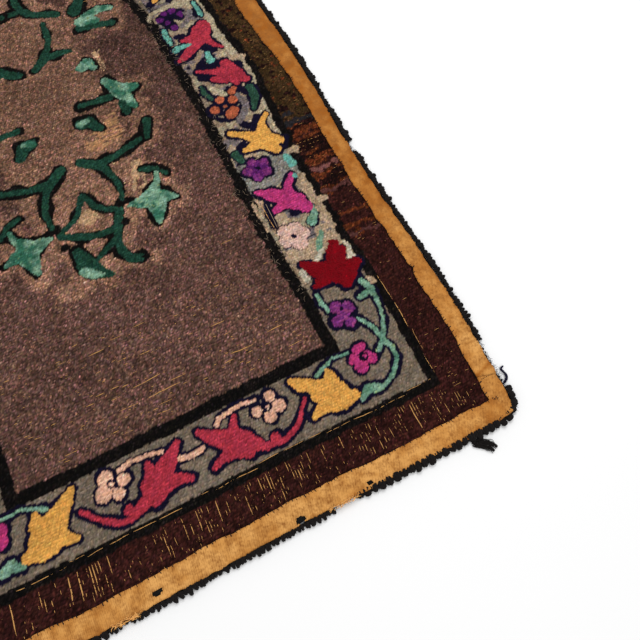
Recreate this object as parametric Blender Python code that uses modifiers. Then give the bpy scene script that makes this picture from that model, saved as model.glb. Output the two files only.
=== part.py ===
"""Hooked rug: a burlap ground hooked full of wool, bound with cotton tape, lying flat with its sewn side up.

Metres, +Z up. The origin is on the floor under the rug's middle, the long sides run along Y,
and the near right corner, at +X and -Y, is the one with the folded lap in its tape.
"""

import math
import random

import bmesh
import bpy
from mathutils import Vector

# Driving dimensions of the rug
WIDTH = 1.000
LENGTH = 1.800
GROUND_THICKNESS = 0.0065
TAPE_WIDTH = 0.032
TAPE_THICKNESS = 0.001
EDGING_RADIUS = 0.0050
CORNER_RADIUS = 0.045
CLEARANCE = 0.0003

# Where the pieces lie, set in from the rug's straight outer edge
EDGING_INSET = EDGING_RADIUS
GROUND_INSET = 0.0104
TAPE_INSET = 0.0115

# How far a hand-cut edge wanders, and over what length
SWAY_ACROSS = 0.0035
SWAY_ACROSS_PITCH = 0.55
SWAY_ACROSS_START = 0.09
SWAY_ALONG = 0.0015
SWAY_ALONG_PITCH = 0.52

# The hooked face swells a little between the bound margins
SWELL = 0.0008
SWELL_PITCH = 0.21
MARGIN = 0.050
GROUND_CELL = 0.040

# The tape is one length: it starts on the right side near the corner, and its end laps over its start
TAPE_CELL = 0.045
TAPE_START_Y = -0.806
TAPE_END_Y = -0.826
TAPE_RAMP = 0.018
TAPE_END_SLANT = 0.010
LAP_LIFT = TAPE_THICKNESS + CLEARANCE

# The edging yarn is gathered in lumps, and it has come away in three places
LUMP_PITCH = 0.0125
LUMP_SMALLEST = 0.70
EDGING_JOIN = 0.060
SIDE_GAP_FAR = -0.313
SIDE_GAP_NEAR = -0.337
CORNER_GAP_FAR = -0.764
CORNER_GAP_NEAR = -0.850
FRONT_GAP_RIGHT = 0.198
FRONT_GAP_LEFT = 0.162
LUMP_SEED = 11

# A hole is worn where the tape rubbed: x, y, half length, half width
TAPE_HOLES = [
    (0.1065, -0.8850, 0.0066, 0.0048),
    (0.2230, -0.8848, 0.0046, 0.0028),
    (-0.1160, -0.8810, 0.0058, 0.0034),
]
HOLE_SIDES = 9

# Yarn ends that have come loose at the edge and lie on the floor: diameter, colour, route
LOOSE_ENDS = {
    "loose_yarn": (
        0.0030,
        (0.010, 0.012, 0.045),
        [
            (0.4880, -0.8445),
            (0.4935, -0.8437),
            (0.4985, -0.8415),
            (0.5018, -0.8375),
            (0.5026, -0.8325),
            (0.5010, -0.8275),
            (0.5004, -0.8232),
            (0.5027, -0.8202),
            (0.5065, -0.8195),
        ],
    ),
    "loose_end_1": (
        0.0045,
        (0.014, 0.014, 0.014),
        [
            (0.3938, -0.9024),
            (0.3986, -0.9075),
            (0.4058, -0.9138),
            (0.4118, -0.9193),
            (0.4160, -0.9245),
            (0.4178, -0.9292),
        ],
    ),
    "loose_end_2": (
        0.0045,
        (0.014, 0.014, 0.014),
        [
            (0.4010, -0.9020),
            (0.4062, -0.9060),
            (0.4125, -0.9106),
            (0.4182, -0.9150),
            (0.4228, -0.9202),
            (0.4252, -0.9258),
        ],
    ),
}
ROUTE_STEP = 1.6

# The rim's corners, as signs of x and y, in the order in which the tape was sewn round
CORNERS = [(1, 1), (1, -1), (-1, -1), (-1, 1)]
FAR_RIGHT, NEAR_RIGHT, NEAR_LEFT, FAR_LEFT = range(4)


def clear_scene():
    """Remove what the file opens with."""
    for item in list(bpy.data.objects):
        bpy.data.objects.remove(item)


def collection(name):
    """A new collection in the scene."""
    group = bpy.data.collections.new(name)
    bpy.context.scene.collection.children.link(group)
    return group


def finish(name, color, roughness):
    """A plain cloth material."""
    material = bpy.data.materials.new(name)
    material.use_nodes = True
    shader = material.node_tree.nodes["Principled BSDF"]
    shader.inputs["Base Color"].default_value = (*color, 1.0)
    shader.inputs["Roughness"].default_value = roughness
    shader.inputs["Metallic"].default_value = 0.0
    return material


def rounded(x, y):
    """Pull the square corner of the plan in to an arc."""
    centre_x = WIDTH / 2 - CORNER_RADIUS
    centre_y = LENGTH / 2 - CORNER_RADIUS
    out_x = abs(x) - centre_x
    out_y = abs(y) - centre_y
    if min(out_x, out_y) <= 0:
        return x, y
    pull = max(out_x, out_y) / math.hypot(out_x, out_y)
    return math.copysign(centre_x + out_x * pull, x), math.copysign(centre_y + out_y * pull, y)


def laid(x, y, z=0.0):
    """Where a point of the straight plan lies on the hand-cut rug."""
    x, y = rounded(x, y)
    across = SWAY_ACROSS * math.cos(math.tau * (y + SWAY_ACROSS_START) / SWAY_ACROSS_PITCH)
    along = SWAY_ALONG * math.sin(math.tau * x / SWAY_ALONG_PITCH)
    return Vector((x + across, y + along, z))


def swell(x, y):
    """How far the hooked face rises at a point between the margins."""
    wave = math.sin(math.tau * x / SWELL_PITCH + 0.9 * math.sin(math.tau * y / 0.6))
    wave += math.sin(math.tau * y / (1.3 * SWELL_PITCH) + 1.7)
    return SWELL * wave / 2


def leg_length(leg):
    """The length of one side of the rim."""
    return LENGTH if leg % 2 == FAR_RIGHT else WIDTH


def rim_point(leg, distance, inset, z=0.0):
    """A point at a distance along a side of the rim, set in from the edge; a corner is mitred."""
    side = leg_length(leg)
    (from_x, from_y), (to_x, to_y) = CORNERS[leg % 4], CORNERS[(leg + 1) % 4]
    share = min(max(distance, inset), side - inset) / side
    x = (from_x + (to_x - from_x) * share) * WIDTH / 2
    y = (from_y + (to_y - from_y) * share) * LENGTH / 2
    if from_x == to_x:
        x = from_x * (WIDTH / 2 - inset)
    else:
        y = from_y * (LENGTH / 2 - inset)
    return laid(x, y, z)


def steps(start, end, pitch):
    """Values from start to end, evenly spaced at about the pitch."""
    count = max(1, round(abs(end - start) / pitch))
    return [start + (end - start) * i / count for i in range(count + 1)]


def add(name, mesh, group, material):
    """An object for a finished mesh."""
    item = bpy.data.objects.new(name, mesh)
    group.objects.link(item)
    mesh.materials.append(material)
    return item


def grid_mesh(name, columns, rows, place):
    """A grid primitive whose points are set by their column and row."""
    grid = bmesh.new()
    bmesh.ops.create_grid(grid, x_segments=columns, y_segments=rows, size=1.0)
    for vertex in grid.verts:
        column = round((vertex.co.x + 1) / 2 * columns)
        row = round((vertex.co.y + 1) / 2 * rows)
        vertex.co = place(column, row)
    bmesh.ops.recalc_face_normals(grid, faces=grid.faces)
    if sum(face.normal.z for face in grid.faces) < 0:
        bmesh.ops.reverse_faces(grid, faces=grid.faces)
    mesh = bpy.data.meshes.new(name)
    grid.to_mesh(mesh)
    grid.free()
    return mesh


def hooked_ground(group):
    """Burlap hooked full of wool: one slab, flat below, whose face swells between its margins."""
    half_x = WIDTH / 2 - GROUND_INSET
    half_y = LENGTH / 2 - GROUND_INSET
    across = [-half_x] + steps(MARGIN - WIDTH / 2, WIDTH / 2 - MARGIN, GROUND_CELL) + [half_x]
    along = [-half_y] + steps(MARGIN - LENGTH / 2, LENGTH / 2 - MARGIN, GROUND_CELL) + [half_y]

    def place(column, row):
        inside = 1 < column < len(across) - 2 and 1 < row < len(along) - 2
        rise = swell(across[column], along[row]) if inside else 0.0
        return laid(across[column], along[row], GROUND_THICKNESS + rise)

    mesh = grid_mesh("hooked_ground", len(across) - 1, len(along) - 1, place)
    slab = bmesh.new()
    slab.from_mesh(mesh)
    top = list(slab.faces)
    bmesh.ops.extrude_face_region(slab, geom=top)
    for vertex in {corner for face in top for corner in face.verts}:
        vertex.co.z = 0.0
    bmesh.ops.dissolve_faces(slab, faces=top)
    bmesh.ops.recalc_face_normals(slab, faces=slab.faces)
    slab.to_mesh(mesh)
    slab.free()
    return add("hooked_ground", mesh, group, finish("wool", (0.15, 0.09, 0.08), 0.95))


def tape_stations():
    """Each cross line of the tape, as side, distance along it and lift, from its start to its end."""
    start = LENGTH / 2 - TAPE_START_Y
    end = LENGTH / 2 - TAPE_END_Y
    corner_step = TAPE_INSET + TAPE_WIDTH + CORNER_RADIUS / 3
    stations = [(FAR_RIGHT, s, 0.0) for s in steps(start, LENGTH - corner_step, TAPE_CELL)]
    for leg in (NEAR_RIGHT, NEAR_LEFT, FAR_LEFT):
        reach = leg_length(leg) - corner_step
        stations.append((leg, 0.0, 0.0))
        stations += [(leg, s, 0.0) for s in steps(corner_step, reach, TAPE_CELL)]
    stations.append((FAR_RIGHT, 0.0, 0.0))
    ramp_foot = start - TAPE_RAMP
    stations += [(FAR_RIGHT, s, 0.0) for s in steps(corner_step, ramp_foot, TAPE_CELL)]
    stations.append((FAR_RIGHT, start - CLEARANCE - TAPE_RAMP / 6, LAP_LIFT))
    stations.append((FAR_RIGHT, end, LAP_LIFT))
    return stations


def tape_hole(group, x, y, half_length, half_width):
    """A cutter for one worn hole."""
    cutter = bmesh.new()
    bmesh.ops.create_cone(
        cutter, cap_ends=True, segments=HOLE_SIDES, radius1=1.0, radius2=1.0, depth=4 * TAPE_THICKNESS
    )
    ragged = random.Random(round(x * 10000))
    bites = [ragged.uniform(0.78, 1.12) for _ in range(HOLE_SIDES)]
    for vertex in cutter.verts:
        turn = round(math.atan2(vertex.co.y, vertex.co.x) / math.tau * HOLE_SIDES) % HOLE_SIDES
        vertex.co.x *= half_length * bites[turn]
        vertex.co.y *= half_width * bites[turn]
    mesh = bpy.data.meshes.new("tape_hole_cutter")
    cutter.to_mesh(mesh)
    cutter.free()
    item = bpy.data.objects.new("tape_hole_cutter", mesh)
    item.location = (x, y, GROUND_THICKNESS + CLEARANCE + TAPE_THICKNESS / 2)
    item.hide_render = True
    item.display_type = "WIRE"
    group.objects.link(item)
    return item


def binding_tape(group, cutters):
    """Twill tape sewn round the margin in one length, mitred at the corners, its end lapped on its start."""
    stations = tape_stations()
    rows = 2

    def place(column, row):
        leg, distance, lift = stations[column]
        inset = TAPE_INSET + TAPE_WIDTH * row / rows
        if column == len(stations) - 1:
            distance -= TAPE_END_SLANT * row / rows
        return rim_point(leg, distance, inset, GROUND_THICKNESS + CLEARANCE + lift)

    mesh = grid_mesh("binding_tape", len(stations) - 1, rows, place)
    tape = add("binding_tape", mesh, group, finish("twill_tape", (0.68, 0.33, 0.08), 0.85))
    thicken = tape.modifiers.new("Thickness", "SOLIDIFY")
    thicken.thickness = TAPE_THICKNESS
    thicken.offset = 1.0
    for hole in TAPE_HOLES:
        cut = tape.modifiers.new("Worn hole", "BOOLEAN")
        cut.operation = "DIFFERENCE"
        cut.object = tape_hole(cutters, *hole)
    return tape


def edging_run(group, material, name, places, rng):
    """One run of black yarn along the rim: a lumpy tube that rests on the floor."""
    curve = bpy.data.curves.new(name, "CURVE")
    curve.dimensions = "3D"
    curve.bevel_depth = EDGING_RADIUS
    curve.bevel_resolution = 1
    curve.use_fill_caps = True
    spline = curve.splines.new("POLY")
    spline.points.add(len(places) - 1)
    for point, (leg, distance) in zip(spline.points, places):
        fullness = rng.uniform(LUMP_SMALLEST, 1.0)
        point.radius = fullness
        point.co = (*rim_point(leg, distance, EDGING_INSET, fullness * EDGING_RADIUS), 1.0)
    item = bpy.data.objects.new(name, curve)
    group.objects.link(item)
    curve.materials.append(material)
    return item


def edging(group):
    """The black yarn round the rim, in the runs that the worn gaps and the joins leave."""
    material = finish("black_yarn", (0.012, 0.012, 0.012), 0.95)
    rng = random.Random(LUMP_SEED)
    side_end = LENGTH / 2
    front_start = WIDTH / 2
    turned = EDGING_INSET + LUMP_PITCH
    runs = {
        "edging_right_far": [(FAR_RIGHT, EDGING_JOIN, side_end - SIDE_GAP_FAR)],
        "edging_right_near": [(FAR_RIGHT, side_end - SIDE_GAP_NEAR, side_end - CORNER_GAP_FAR)],
        "edging_corner": [
            (FAR_RIGHT, side_end - CORNER_GAP_NEAR, LENGTH - EDGING_INSET),
            (NEAR_RIGHT, turned, front_start - FRONT_GAP_RIGHT),
        ],
        "edging_front": [
            (NEAR_RIGHT, front_start - FRONT_GAP_LEFT, WIDTH - EDGING_INSET),
            (NEAR_LEFT, turned, EDGING_JOIN - 2 * CLEARANCE),
        ],
        "edging_left": [
            (NEAR_LEFT, EDGING_JOIN, LENGTH - EDGING_INSET),
            (FAR_LEFT, turned, EDGING_JOIN - 2 * CLEARANCE),
        ],
        "edging_back": [
            (FAR_LEFT, EDGING_JOIN, WIDTH - EDGING_INSET),
            (FAR_RIGHT, turned, EDGING_JOIN - 2 * CLEARANCE),
        ],
    }
    for name, legs in runs.items():
        places = [(leg, s) for leg, start, end in legs for s in steps(start, end, LUMP_PITCH)]
        edging_run(group, material, name, places, rng)


def smooth_route(points, count):
    """Points at even steps along a curve through the given ones."""
    knots = [Vector(p) for p in points]
    ends = [2 * knots[0] - knots[1]] + knots + [2 * knots[-1] - knots[-2]]
    route = []
    for i in range(count):
        along = (len(knots) - 1) * i / (count - 1)
        span = min(int(along), len(knots) - 2)
        t = along - span
        a, b, c, d = ends[span : span + 4]
        route.append(
            0.5 * (2 * b + (c - a) * t + (2 * a - 5 * b + 4 * c - d) * t**2 + (3 * b - a - 3 * c + d) * t**3)
        )
    return route


def loose_end(group, name, diameter, color, places):
    """One loose end of yarn, lying level on the floor along its route."""
    knots = [(x, y, diameter / 2) for x, y in places]
    length = sum(math.dist(a, b) for a, b in zip(knots, knots[1:]))
    route = smooth_route(knots, round(length / (ROUTE_STEP * diameter)) + 1)
    curve = bpy.data.curves.new(name, "CURVE")
    curve.dimensions = "3D"
    curve.bevel_depth = diameter / 2
    curve.bevel_resolution = 2
    curve.use_fill_caps = True
    spline = curve.splines.new("POLY")
    spline.points.add(len(route) - 1)
    for point, place in zip(spline.points, route):
        point.co = (*place, 1.0)
    curve.materials.append(finish(name, color, 0.95))
    group.objects.link(bpy.data.objects.new(name, curve))


def build():
    """Make the rug."""
    clear_scene()
    rug = collection("hooked_rug")
    cutters = collection("cutters")
    hooked_ground(rug)
    binding_tape(rug, cutters)
    edging(rug)
    for name, (diameter, color, places) in LOOSE_ENDS.items():
        loose_end(rug, name, diameter, color, places)


build()
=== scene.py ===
"""A hooked rug lying flat, sewn side up: wool through burlap, bound with tape, edged with black yarn."""

import math

import bpy
import numpy as np
from mathutils import Matrix, Vector


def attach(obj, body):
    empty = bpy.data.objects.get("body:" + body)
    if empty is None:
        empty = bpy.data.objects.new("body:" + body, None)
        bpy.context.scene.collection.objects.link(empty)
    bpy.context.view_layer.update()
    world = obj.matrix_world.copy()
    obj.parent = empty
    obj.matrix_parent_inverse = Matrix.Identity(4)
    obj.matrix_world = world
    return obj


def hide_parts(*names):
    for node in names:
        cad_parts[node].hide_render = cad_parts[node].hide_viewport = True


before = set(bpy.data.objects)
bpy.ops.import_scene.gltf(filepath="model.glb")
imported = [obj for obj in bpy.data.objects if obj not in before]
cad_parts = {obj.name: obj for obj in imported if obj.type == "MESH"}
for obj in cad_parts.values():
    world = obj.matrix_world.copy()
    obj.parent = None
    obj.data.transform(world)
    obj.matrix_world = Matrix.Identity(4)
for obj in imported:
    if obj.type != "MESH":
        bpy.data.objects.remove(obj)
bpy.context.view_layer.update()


# The camera looks down over the near right corner of the rug
# from a little under a metre above the floor, turned to the right and tipped steeply down.
CAMERA_PLACE = Vector((0.0957, -0.9641, 0.9615))
CAMERA_TURN = math.radians(27.329)
CAMERA_TIP = math.radians(67.6)
CAMERA_ROLL = math.radians(0.351)

ahead = Vector(
    (
        math.sin(CAMERA_TURN) * math.cos(CAMERA_TIP),
        math.cos(CAMERA_TURN) * math.cos(CAMERA_TIP),
        -math.sin(CAMERA_TIP),
    )
)
level_right = ahead.cross(Vector((0, 0, 1))).normalized()
level_up = level_right.cross(ahead)
camera_right = level_right * math.cos(CAMERA_ROLL) + level_up * math.sin(CAMERA_ROLL)
camera_up = level_up * math.cos(CAMERA_ROLL) - level_right * math.sin(CAMERA_ROLL)

camera_data = bpy.data.cameras.new("camera")
camera_data.lens = 34.875
camera_data.sensor_width = 36
camera = bpy.data.objects.new("camera", camera_data)
camera.matrix_world = Matrix.Translation(CAMERA_PLACE) @ Matrix(
    (camera_right, camera_up, -ahead)
).transposed().to_4x4()
bpy.context.scene.collection.objects.link(camera)
bpy.context.scene.camera = camera
bpy.context.scene.view_settings.view_transform = "Standard"


# Three ends of yarn have come out of the edge near the right corner and lie on the floor:
# one of thin navy wool, and two of thick black wool side by side, each spun of three plies.
LOOSE_YARNS = {
    "loose_yarn": (
        0.0030,
        "navy_yarn",
        [(0.4880, -0.8445), (0.4935, -0.8437), (0.4985, -0.8415), (0.5018, -0.8375), (0.5026, -0.8325)]
        + [(0.5010, -0.8275), (0.5004, -0.8232), (0.5027, -0.8202), (0.5065, -0.8195)],
    ),
    "loose_end_1": (
        0.0045,
        "black_yarn",
        [(0.3938, -0.9024), (0.3986, -0.9075), (0.4058, -0.9138)]
        + [(0.4118, -0.9193), (0.4160, -0.9245), (0.4178, -0.9292)],
    ),
    "loose_end_2": (
        0.0045,
        "black_yarn",
        [(0.4010, -0.9020), (0.4062, -0.9060), (0.4125, -0.9106)]
        + [(0.4182, -0.9150), (0.4228, -0.9202), (0.4252, -0.9258)],
    ),
}
ROUTE_POINTS = 40
YARN_SIDES = 12
PLY_TURN = 0.006
PLY_DEPTH = 0.14
LOOSE_FIBRES = {"navy_yarn": 3, "black_yarn": 16}
FIBRE_STEP = 3
BLACK_WOOL = (0.0042, 0.0033, 0.0032, 1)
NAVY_WOOL = (0.007, 0.006, 0.024, 1)


class Link:
    """A node's socket, on which sums can be written."""

    def __init__(self, finish, socket):
        self.finish = finish
        self.socket = socket

    def sum(self, operation, left, right):
        return self.finish.node("ShaderNodeMath", {"operation": operation}, [left, right])

    def __add__(self, other):
        return self.sum("ADD", self, other)

    def __sub__(self, other):
        return self.sum("SUBTRACT", self, other)

    def __mul__(self, other):
        return self.sum("MULTIPLY", self, other)


class Finish:
    """A cloth material: a shader with a steady roughness and sheen, and the nodes that feed it."""

    def __init__(self, name, roughness, sheen):
        self.material = bpy.data.materials.new(name)
        self.material.use_nodes = True
        self.tree = self.material.node_tree
        self.shader = self.tree.nodes["Principled BSDF"]
        self.shader.inputs["Roughness"].default_value = roughness
        self.shader.inputs["Sheen Weight"].default_value = sheen
        self.shader.inputs["Sheen Roughness"].default_value = 0.6
        self.shader.inputs["Specular IOR Level"].default_value = 0.05

    def node(self, kind, settings=(), inputs=(), output=0):
        """Adds a node with its settings, or a ramp's stops, and the values or links of its sockets."""
        node = self.tree.nodes.new(kind)
        for name, value in dict(settings).items():
            if name == "stops":
                for place, level in value:
                    stop = node.color_ramp.elements.new(place)
                    stop.color = (level, level, level, 1)
                node.color_ramp.elements.remove(node.color_ramp.elements[0])
                node.color_ramp.elements.remove(node.color_ramp.elements[-1])
            else:
                setattr(node, name, value)
        pairs = inputs.items() if isinstance(inputs, dict) else enumerate(inputs)
        for place, value in pairs:
            self.feed(node.inputs[place], value)
        return Link(self, node.outputs[output])

    def feed(self, socket, value):
        if isinstance(value, Link):
            self.tree.links.new(value.socket, socket)
        else:
            socket.default_value = value

    def place(self):
        """Where a point of the piece lies, in metres."""
        return self.node("ShaderNodeTexCoord", output="Object")

    def painted(self, layer):
        """The colour that the piece's own points carry."""
        return self.node("ShaderNodeAttribute", {"attribute_name": layer}, output="Color")

    def noise(self, pitch, detail=2.0, stretch=(1, 1, 1)):
        """Smooth random values from 0 to 1 that change over the pitch, in metres."""
        squeeze = tuple(1 / s for s in stretch)
        spot = self.node("ShaderNodeVectorMath", {"operation": "MULTIPLY"}, [self.place(), squeeze])
        return self.node("ShaderNodeTexNoise", {}, {"Vector": spot, "Scale": 1 / pitch, "Detail": detail})

    def mixed(self, share, under, over, blend="MIX"):
        """One colour over another by a share."""
        sockets = {0: share, 6: under, 7: over}
        return self.node("ShaderNodeMix", {"data_type": "RGBA", "blend_type": blend}, sockets, output=2)

    def shade(self, color, height, depth):
        """Feeds the shader a colour and a relief of that depth in metres."""
        self.feed(self.shader.inputs["Base Color"], color)
        relief = self.node("ShaderNodeBump", {}, {"Strength": 1.0, "Distance": depth, "Height": height})
        self.feed(self.shader.inputs["Normal"], relief)


def yarn_finish(name, color, fluff=0.018):
    """Wool yarn: a deep even dye with paler fibres standing on it."""
    finish = Finish(name, 0.95, 0.02)
    fuzz = finish.noise(0.0016, 3.0)
    pale = tuple(c * 1.3 + fluff * warmth for c, warmth in zip(color, (1, 0.85, 0.8))) + (1,)
    finish.shade(finish.mixed(fuzz * fuzz * 1.3, color, pale), fuzz, 0.0006)
    return finish


def piece(name, points, faces, finish):
    """An object of the rug made of points and faces."""
    mesh = bpy.data.meshes.new(name)
    mesh.from_pydata(np.asarray(points).tolist(), [], [list(map(int, face)) for face in faces])
    mesh.polygons.foreach_set("use_smooth", [True] * len(mesh.polygons))
    mesh.materials.append(finish.material)
    item = bpy.data.objects.new(name, mesh)
    bpy.context.scene.collection.objects.link(item)
    return item


def spun(name, strands, sides, finish):
    """One piece made of strands, each given by the points that it follows and its radii there."""
    points, faces = [], []
    turn = math.tau * np.arange(sides) / sides
    first = 0
    for line, radii in strands:
        line = np.asarray(line, float)
        radii = np.asarray(radii, float)
        radii = radii[:, None] if radii.ndim == 1 else radii
        along = np.gradient(line, axis=0)
        along /= np.linalg.norm(along, axis=1, keepdims=True)
        steep = np.abs(along[:, 2]).max() > 0.9
        across = np.cross(along, (1.0, 0.0, 0.0) if steep else (0.0, 0.0, 1.0))
        across /= np.linalg.norm(across, axis=1, keepdims=True)
        rise = np.cross(across, along)
        spokes = across[:, None] * np.cos(turn)[:, None] + rise[:, None] * np.sin(turn)[:, None]
        points.append((line[:, None] + radii[..., None] * spokes).reshape(-1, 3))
        for row in range(len(line) - 1):
            for side in range(sides):
                a = first + row * sides + side
                b = first + row * sides + (side + 1) % sides
                faces.append((a, a + sides, b + sides, b))
        last = first + (len(line) - 1) * sides
        faces.append(tuple(range(first, first + sides)))
        faces.append(tuple(range(last + sides - 1, last - 1, -1)))
        first = last + sides
    return piece(name, np.concatenate(points), faces, finish)


def smooth_route(points, count):
    """Points at even steps along a curve through the given ones."""
    knots = [np.array(p, float) for p in points]
    knots = [2 * knots[0] - knots[1]] + knots + [2 * knots[-1] - knots[-2]]
    route = []
    for i in range(count):
        along = (len(points) - 1) * i / (count - 1)
        span = min(int(along), len(points) - 2)
        t = along - span
        a, b, c, d = knots[span : span + 4]
        bend = 2 * a - 5 * b + 4 * c - d
        twist = 3 * b - a - 3 * c + d
        route.append(0.5 * (2 * b + (c - a) * t + bend * t**2 + twist * t**3))
    return np.array(route)


def measured(route):
    """The distance along a route at each of its points."""
    return np.concatenate([[0], np.cumsum(np.linalg.norm(np.diff(route, axis=0), axis=1))])


yarn_finishes = {
    "black_yarn": yarn_finish("black_yarn_finish", BLACK_WOOL),
    "navy_yarn": yarn_finish("navy_yarn_finish", NAVY_WOOL),
}
tuft_chance = np.random.default_rng(11)
for name, (diameter, slot, places) in LOOSE_YARNS.items():
    route = smooth_route([(x, y, diameter / 2) for x, y in places], ROUTE_POINTS)
    gone = measured(route)
    turned = math.tau * np.arange(YARN_SIDES) / YARN_SIDES
    plies = np.abs(np.cos(1.5 * (turned[None, :] - math.tau * gone[:, None] / (3 * PLY_TURN))))
    radii = diameter / 2 * (1 - PLY_DEPTH + PLY_DEPTH * plies)
    radii[-1] *= 0.45
    radii[-2] *= 0.85
    end = spun(name + "_spun", [(route, radii)], YARN_SIDES, yarn_finishes[slot])
    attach(end, "root")
    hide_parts(name)
    strands = []
    for _ in range(LOOSE_FIBRES[slot]):
        spread = tuft_chance.uniform(-1.1, 1.1) * diameter
        first, last = sorted(tuft_chance.uniform(0, 1, 2))
        first, last = int(first * 14), int(24 + last * 14)
        line = route[first : last + 1 : FIBRE_STEP].copy()
        side = np.cross(line[-1] - line[0], (0, 0, 1.0))
        line += side / np.linalg.norm(side) * (spread + tuft_chance.uniform(-0.0012, 0.0012, (len(line), 1)))
        line[:, 2] = tuft_chance.uniform(0.0014, 0.0052) + tuft_chance.uniform(-0.0005, 0.0005, len(line))
        strands.append((line, tuft_chance.uniform(0.0005, 0.0013) * np.linspace(1.0, 0.5, len(line))))
    frayed = spun(name + "_fibres", strands, 5, yarn_finishes[slot])
    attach(frayed, "root")


# The ground is burlap, 1.00 m by 1.80 m with its hem, cut by hand so that its edges wander a little.
# It lies flat on the floor, and its underside shows the same pattern in the looped pile.
RUG_WIDTH = 1.000
RUG_LENGTH = 1.800
GROUND_TOP = 0.0065
GROUND_INSET = 0.0104
CORNER_RADIUS = 0.045
CORNER_PUSH = 0.0030
CORNER_TURN = 0.82
CORNER_SPREAD = 0.32
CORNER_START = 0.010
CORNER_RUN_OUT = 0.0235
SWAY_ACROSS = 0.0035
SWAY_ACROSS_PITCH = 0.55
SWAY_ACROSS_START = 0.09
SWAY_ALONG = 0.0015
SWAY_ALONG_PITCH = 0.52
SWELL = 0.0008
SWELL_PITCH = 0.21
SWELL_BEND = 0.6
SWELL_MARGIN = 0.05
SWELL_FADE = 0.04
TAPE_INSET = 0.0115
TAPE_WIDTH = 0.032
UNDERSIDE_CELL = 0.0072


def laid(x, y, z):
    """Where points of the straight plan lie on the hand-cut rug."""
    x, y, z = np.broadcast_arrays(np.asarray(x, float), np.asarray(y, float), np.asarray(z, float))
    centre_x = RUG_WIDTH / 2 - CORNER_RADIUS
    centre_y = RUG_LENGTH / 2 - CORNER_RADIUS
    out_x = np.abs(x) - centre_x
    out_y = np.abs(y) - centre_y
    corner = np.minimum(out_x, out_y) > 0
    pull = np.where(corner, np.maximum(out_x, out_y) / np.maximum(np.hypot(out_x, out_y), 1e-9), 1.0)
    x = np.where(corner, np.copysign(centre_x + out_x * pull, x), x)
    y = np.where(corner, np.copysign(centre_y + out_y * pull, y), y)
    across = SWAY_ACROSS * np.cos(math.tau * (y + SWAY_ACROSS_START) / SWAY_ACROSS_PITCH)
    along = SWAY_ALONG * np.sin(math.tau * x / SWAY_ALONG_PITCH)
    return np.stack([x + across, y + along, z], axis=-1)


def peak(value, middle, reach):
    """1 where a value is at the middle, falling away smoothly over the reach."""
    return np.exp(-(((value - middle) / reach) ** 2))


def ramp(depth, run):
    """How far a depth has come along a run, from 0 to 1."""
    return np.clip(depth / run, 0, 1)


def corner_pushed(points, push):
    """The points, with the near right corner drawn out to a point."""
    off_x = points[:, 0] - RUG_WIDTH / 2 + CORNER_RADIUS
    off_y = -points[:, 1] - RUG_LENGTH / 2 + CORNER_RADIUS
    reach = np.maximum(np.hypot(off_x, off_y), 1e-4)
    turn = np.arctan2(off_y, off_x)
    share = peak(turn, CORNER_TURN, CORNER_SPREAD) * ramp(reach - CORNER_START, CORNER_RUN_OUT) ** 3
    share = np.where((off_x > 0) & (off_y > 0), share, 0) * push / reach
    return points + np.stack([off_x * share, -off_y * share, 0 * share], axis=-1)


def swell(x, y):
    """How far the hooked face rises at a point between the margins."""
    wave = np.sin(math.tau * x / SWELL_PITCH + 0.9 * np.sin(math.tau * y / SWELL_BEND))
    wave = wave + np.sin(math.tau * y / (1.3 * SWELL_PITCH) + 1.7)
    inside = np.minimum(RUG_WIDTH / 2 - np.abs(x), RUG_LENGTH / 2 - np.abs(y))
    return SWELL * wave / 2 * ramp(inside - SWELL_MARGIN, SWELL_FADE)


def drift(x, y, pitch, seed):
    """Smooth random values from -1 to 1 that change over the pitch."""
    table = np.random.default_rng(seed).uniform(-1, 1, (256, 256))
    u = np.asarray(x, float) / pitch + 100
    v = np.asarray(y, float) / pitch + 100
    i = np.floor(u).astype(int)
    j = np.floor(v).astype(int)
    s = u - i
    t = v - j
    s = s * s * (3 - 2 * s)
    t = t * t * (3 - 2 * t)
    near = table[i % 256, j % 256] * (1 - s) + table[(i + 1) % 256, j % 256] * s
    far = table[i % 256, (j + 1) % 256] * (1 - s) + table[(i + 1) % 256, (j + 1) % 256] * s
    return near * (1 - t) + far * t


# The dyed wools, as they lie in the rug now, faded by light.
MAROON = (0.033, 0.0092, 0.0073)
DARK_BROWN = (0.010, 0.0030, 0.0024)
BLACK = (0.0040, 0.0032, 0.0028)
NAVY = (0.0055, 0.0042, 0.0150)
BURLAP = (0.46, 0.27, 0.11)
RUST = (0.078, 0.019, 0.0065)
OLIVE_BROWN = (0.038, 0.020, 0.0075)
MAUVE = (0.085, 0.030, 0.026)
PINK_MAUVE = (0.16, 0.06, 0.052)
NAVY_GREY = (0.016, 0.014, 0.016)
TAUPE = (0.160, 0.122, 0.088)
GREY = (0.190, 0.175, 0.150)
BEIGE = (0.36, 0.255, 0.165)
FIELD = (0.120, 0.061, 0.046)
PINK_TAN = (0.260, 0.135, 0.088)
CREAM = (0.42, 0.26, 0.145)
STRAW = (0.36, 0.185, 0.090)
MINT = (0.175, 0.300, 0.210)
AQUA = (0.120, 0.330, 0.270)
FRESH_GREEN = (0.24, 0.33, 0.16)
LEAF_GREEN = (0.022, 0.062, 0.039)
SCROLL_GREEN = (0.0110, 0.043, 0.027)
MAGENTA = (0.42, 0.035, 0.150)
PURPLE = (0.155, 0.025, 0.135)
DARK_PURPLE = (0.085, 0.012, 0.100)
CRIMSON = (0.36, 0.030, 0.050)
DARK_RED = (0.180, 0.0015, 0.006)
YELLOW = (0.66, 0.32, 0.070)
PEACH = (0.66, 0.36, 0.245)
PALE_PINK = (0.60, 0.38, 0.31)
ORANGE = (0.390, 0.098, 0.045)
LAVENDER = (0.150, 0.122, 0.120)
IVORY = (0.36, 0.295, 0.195)

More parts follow.
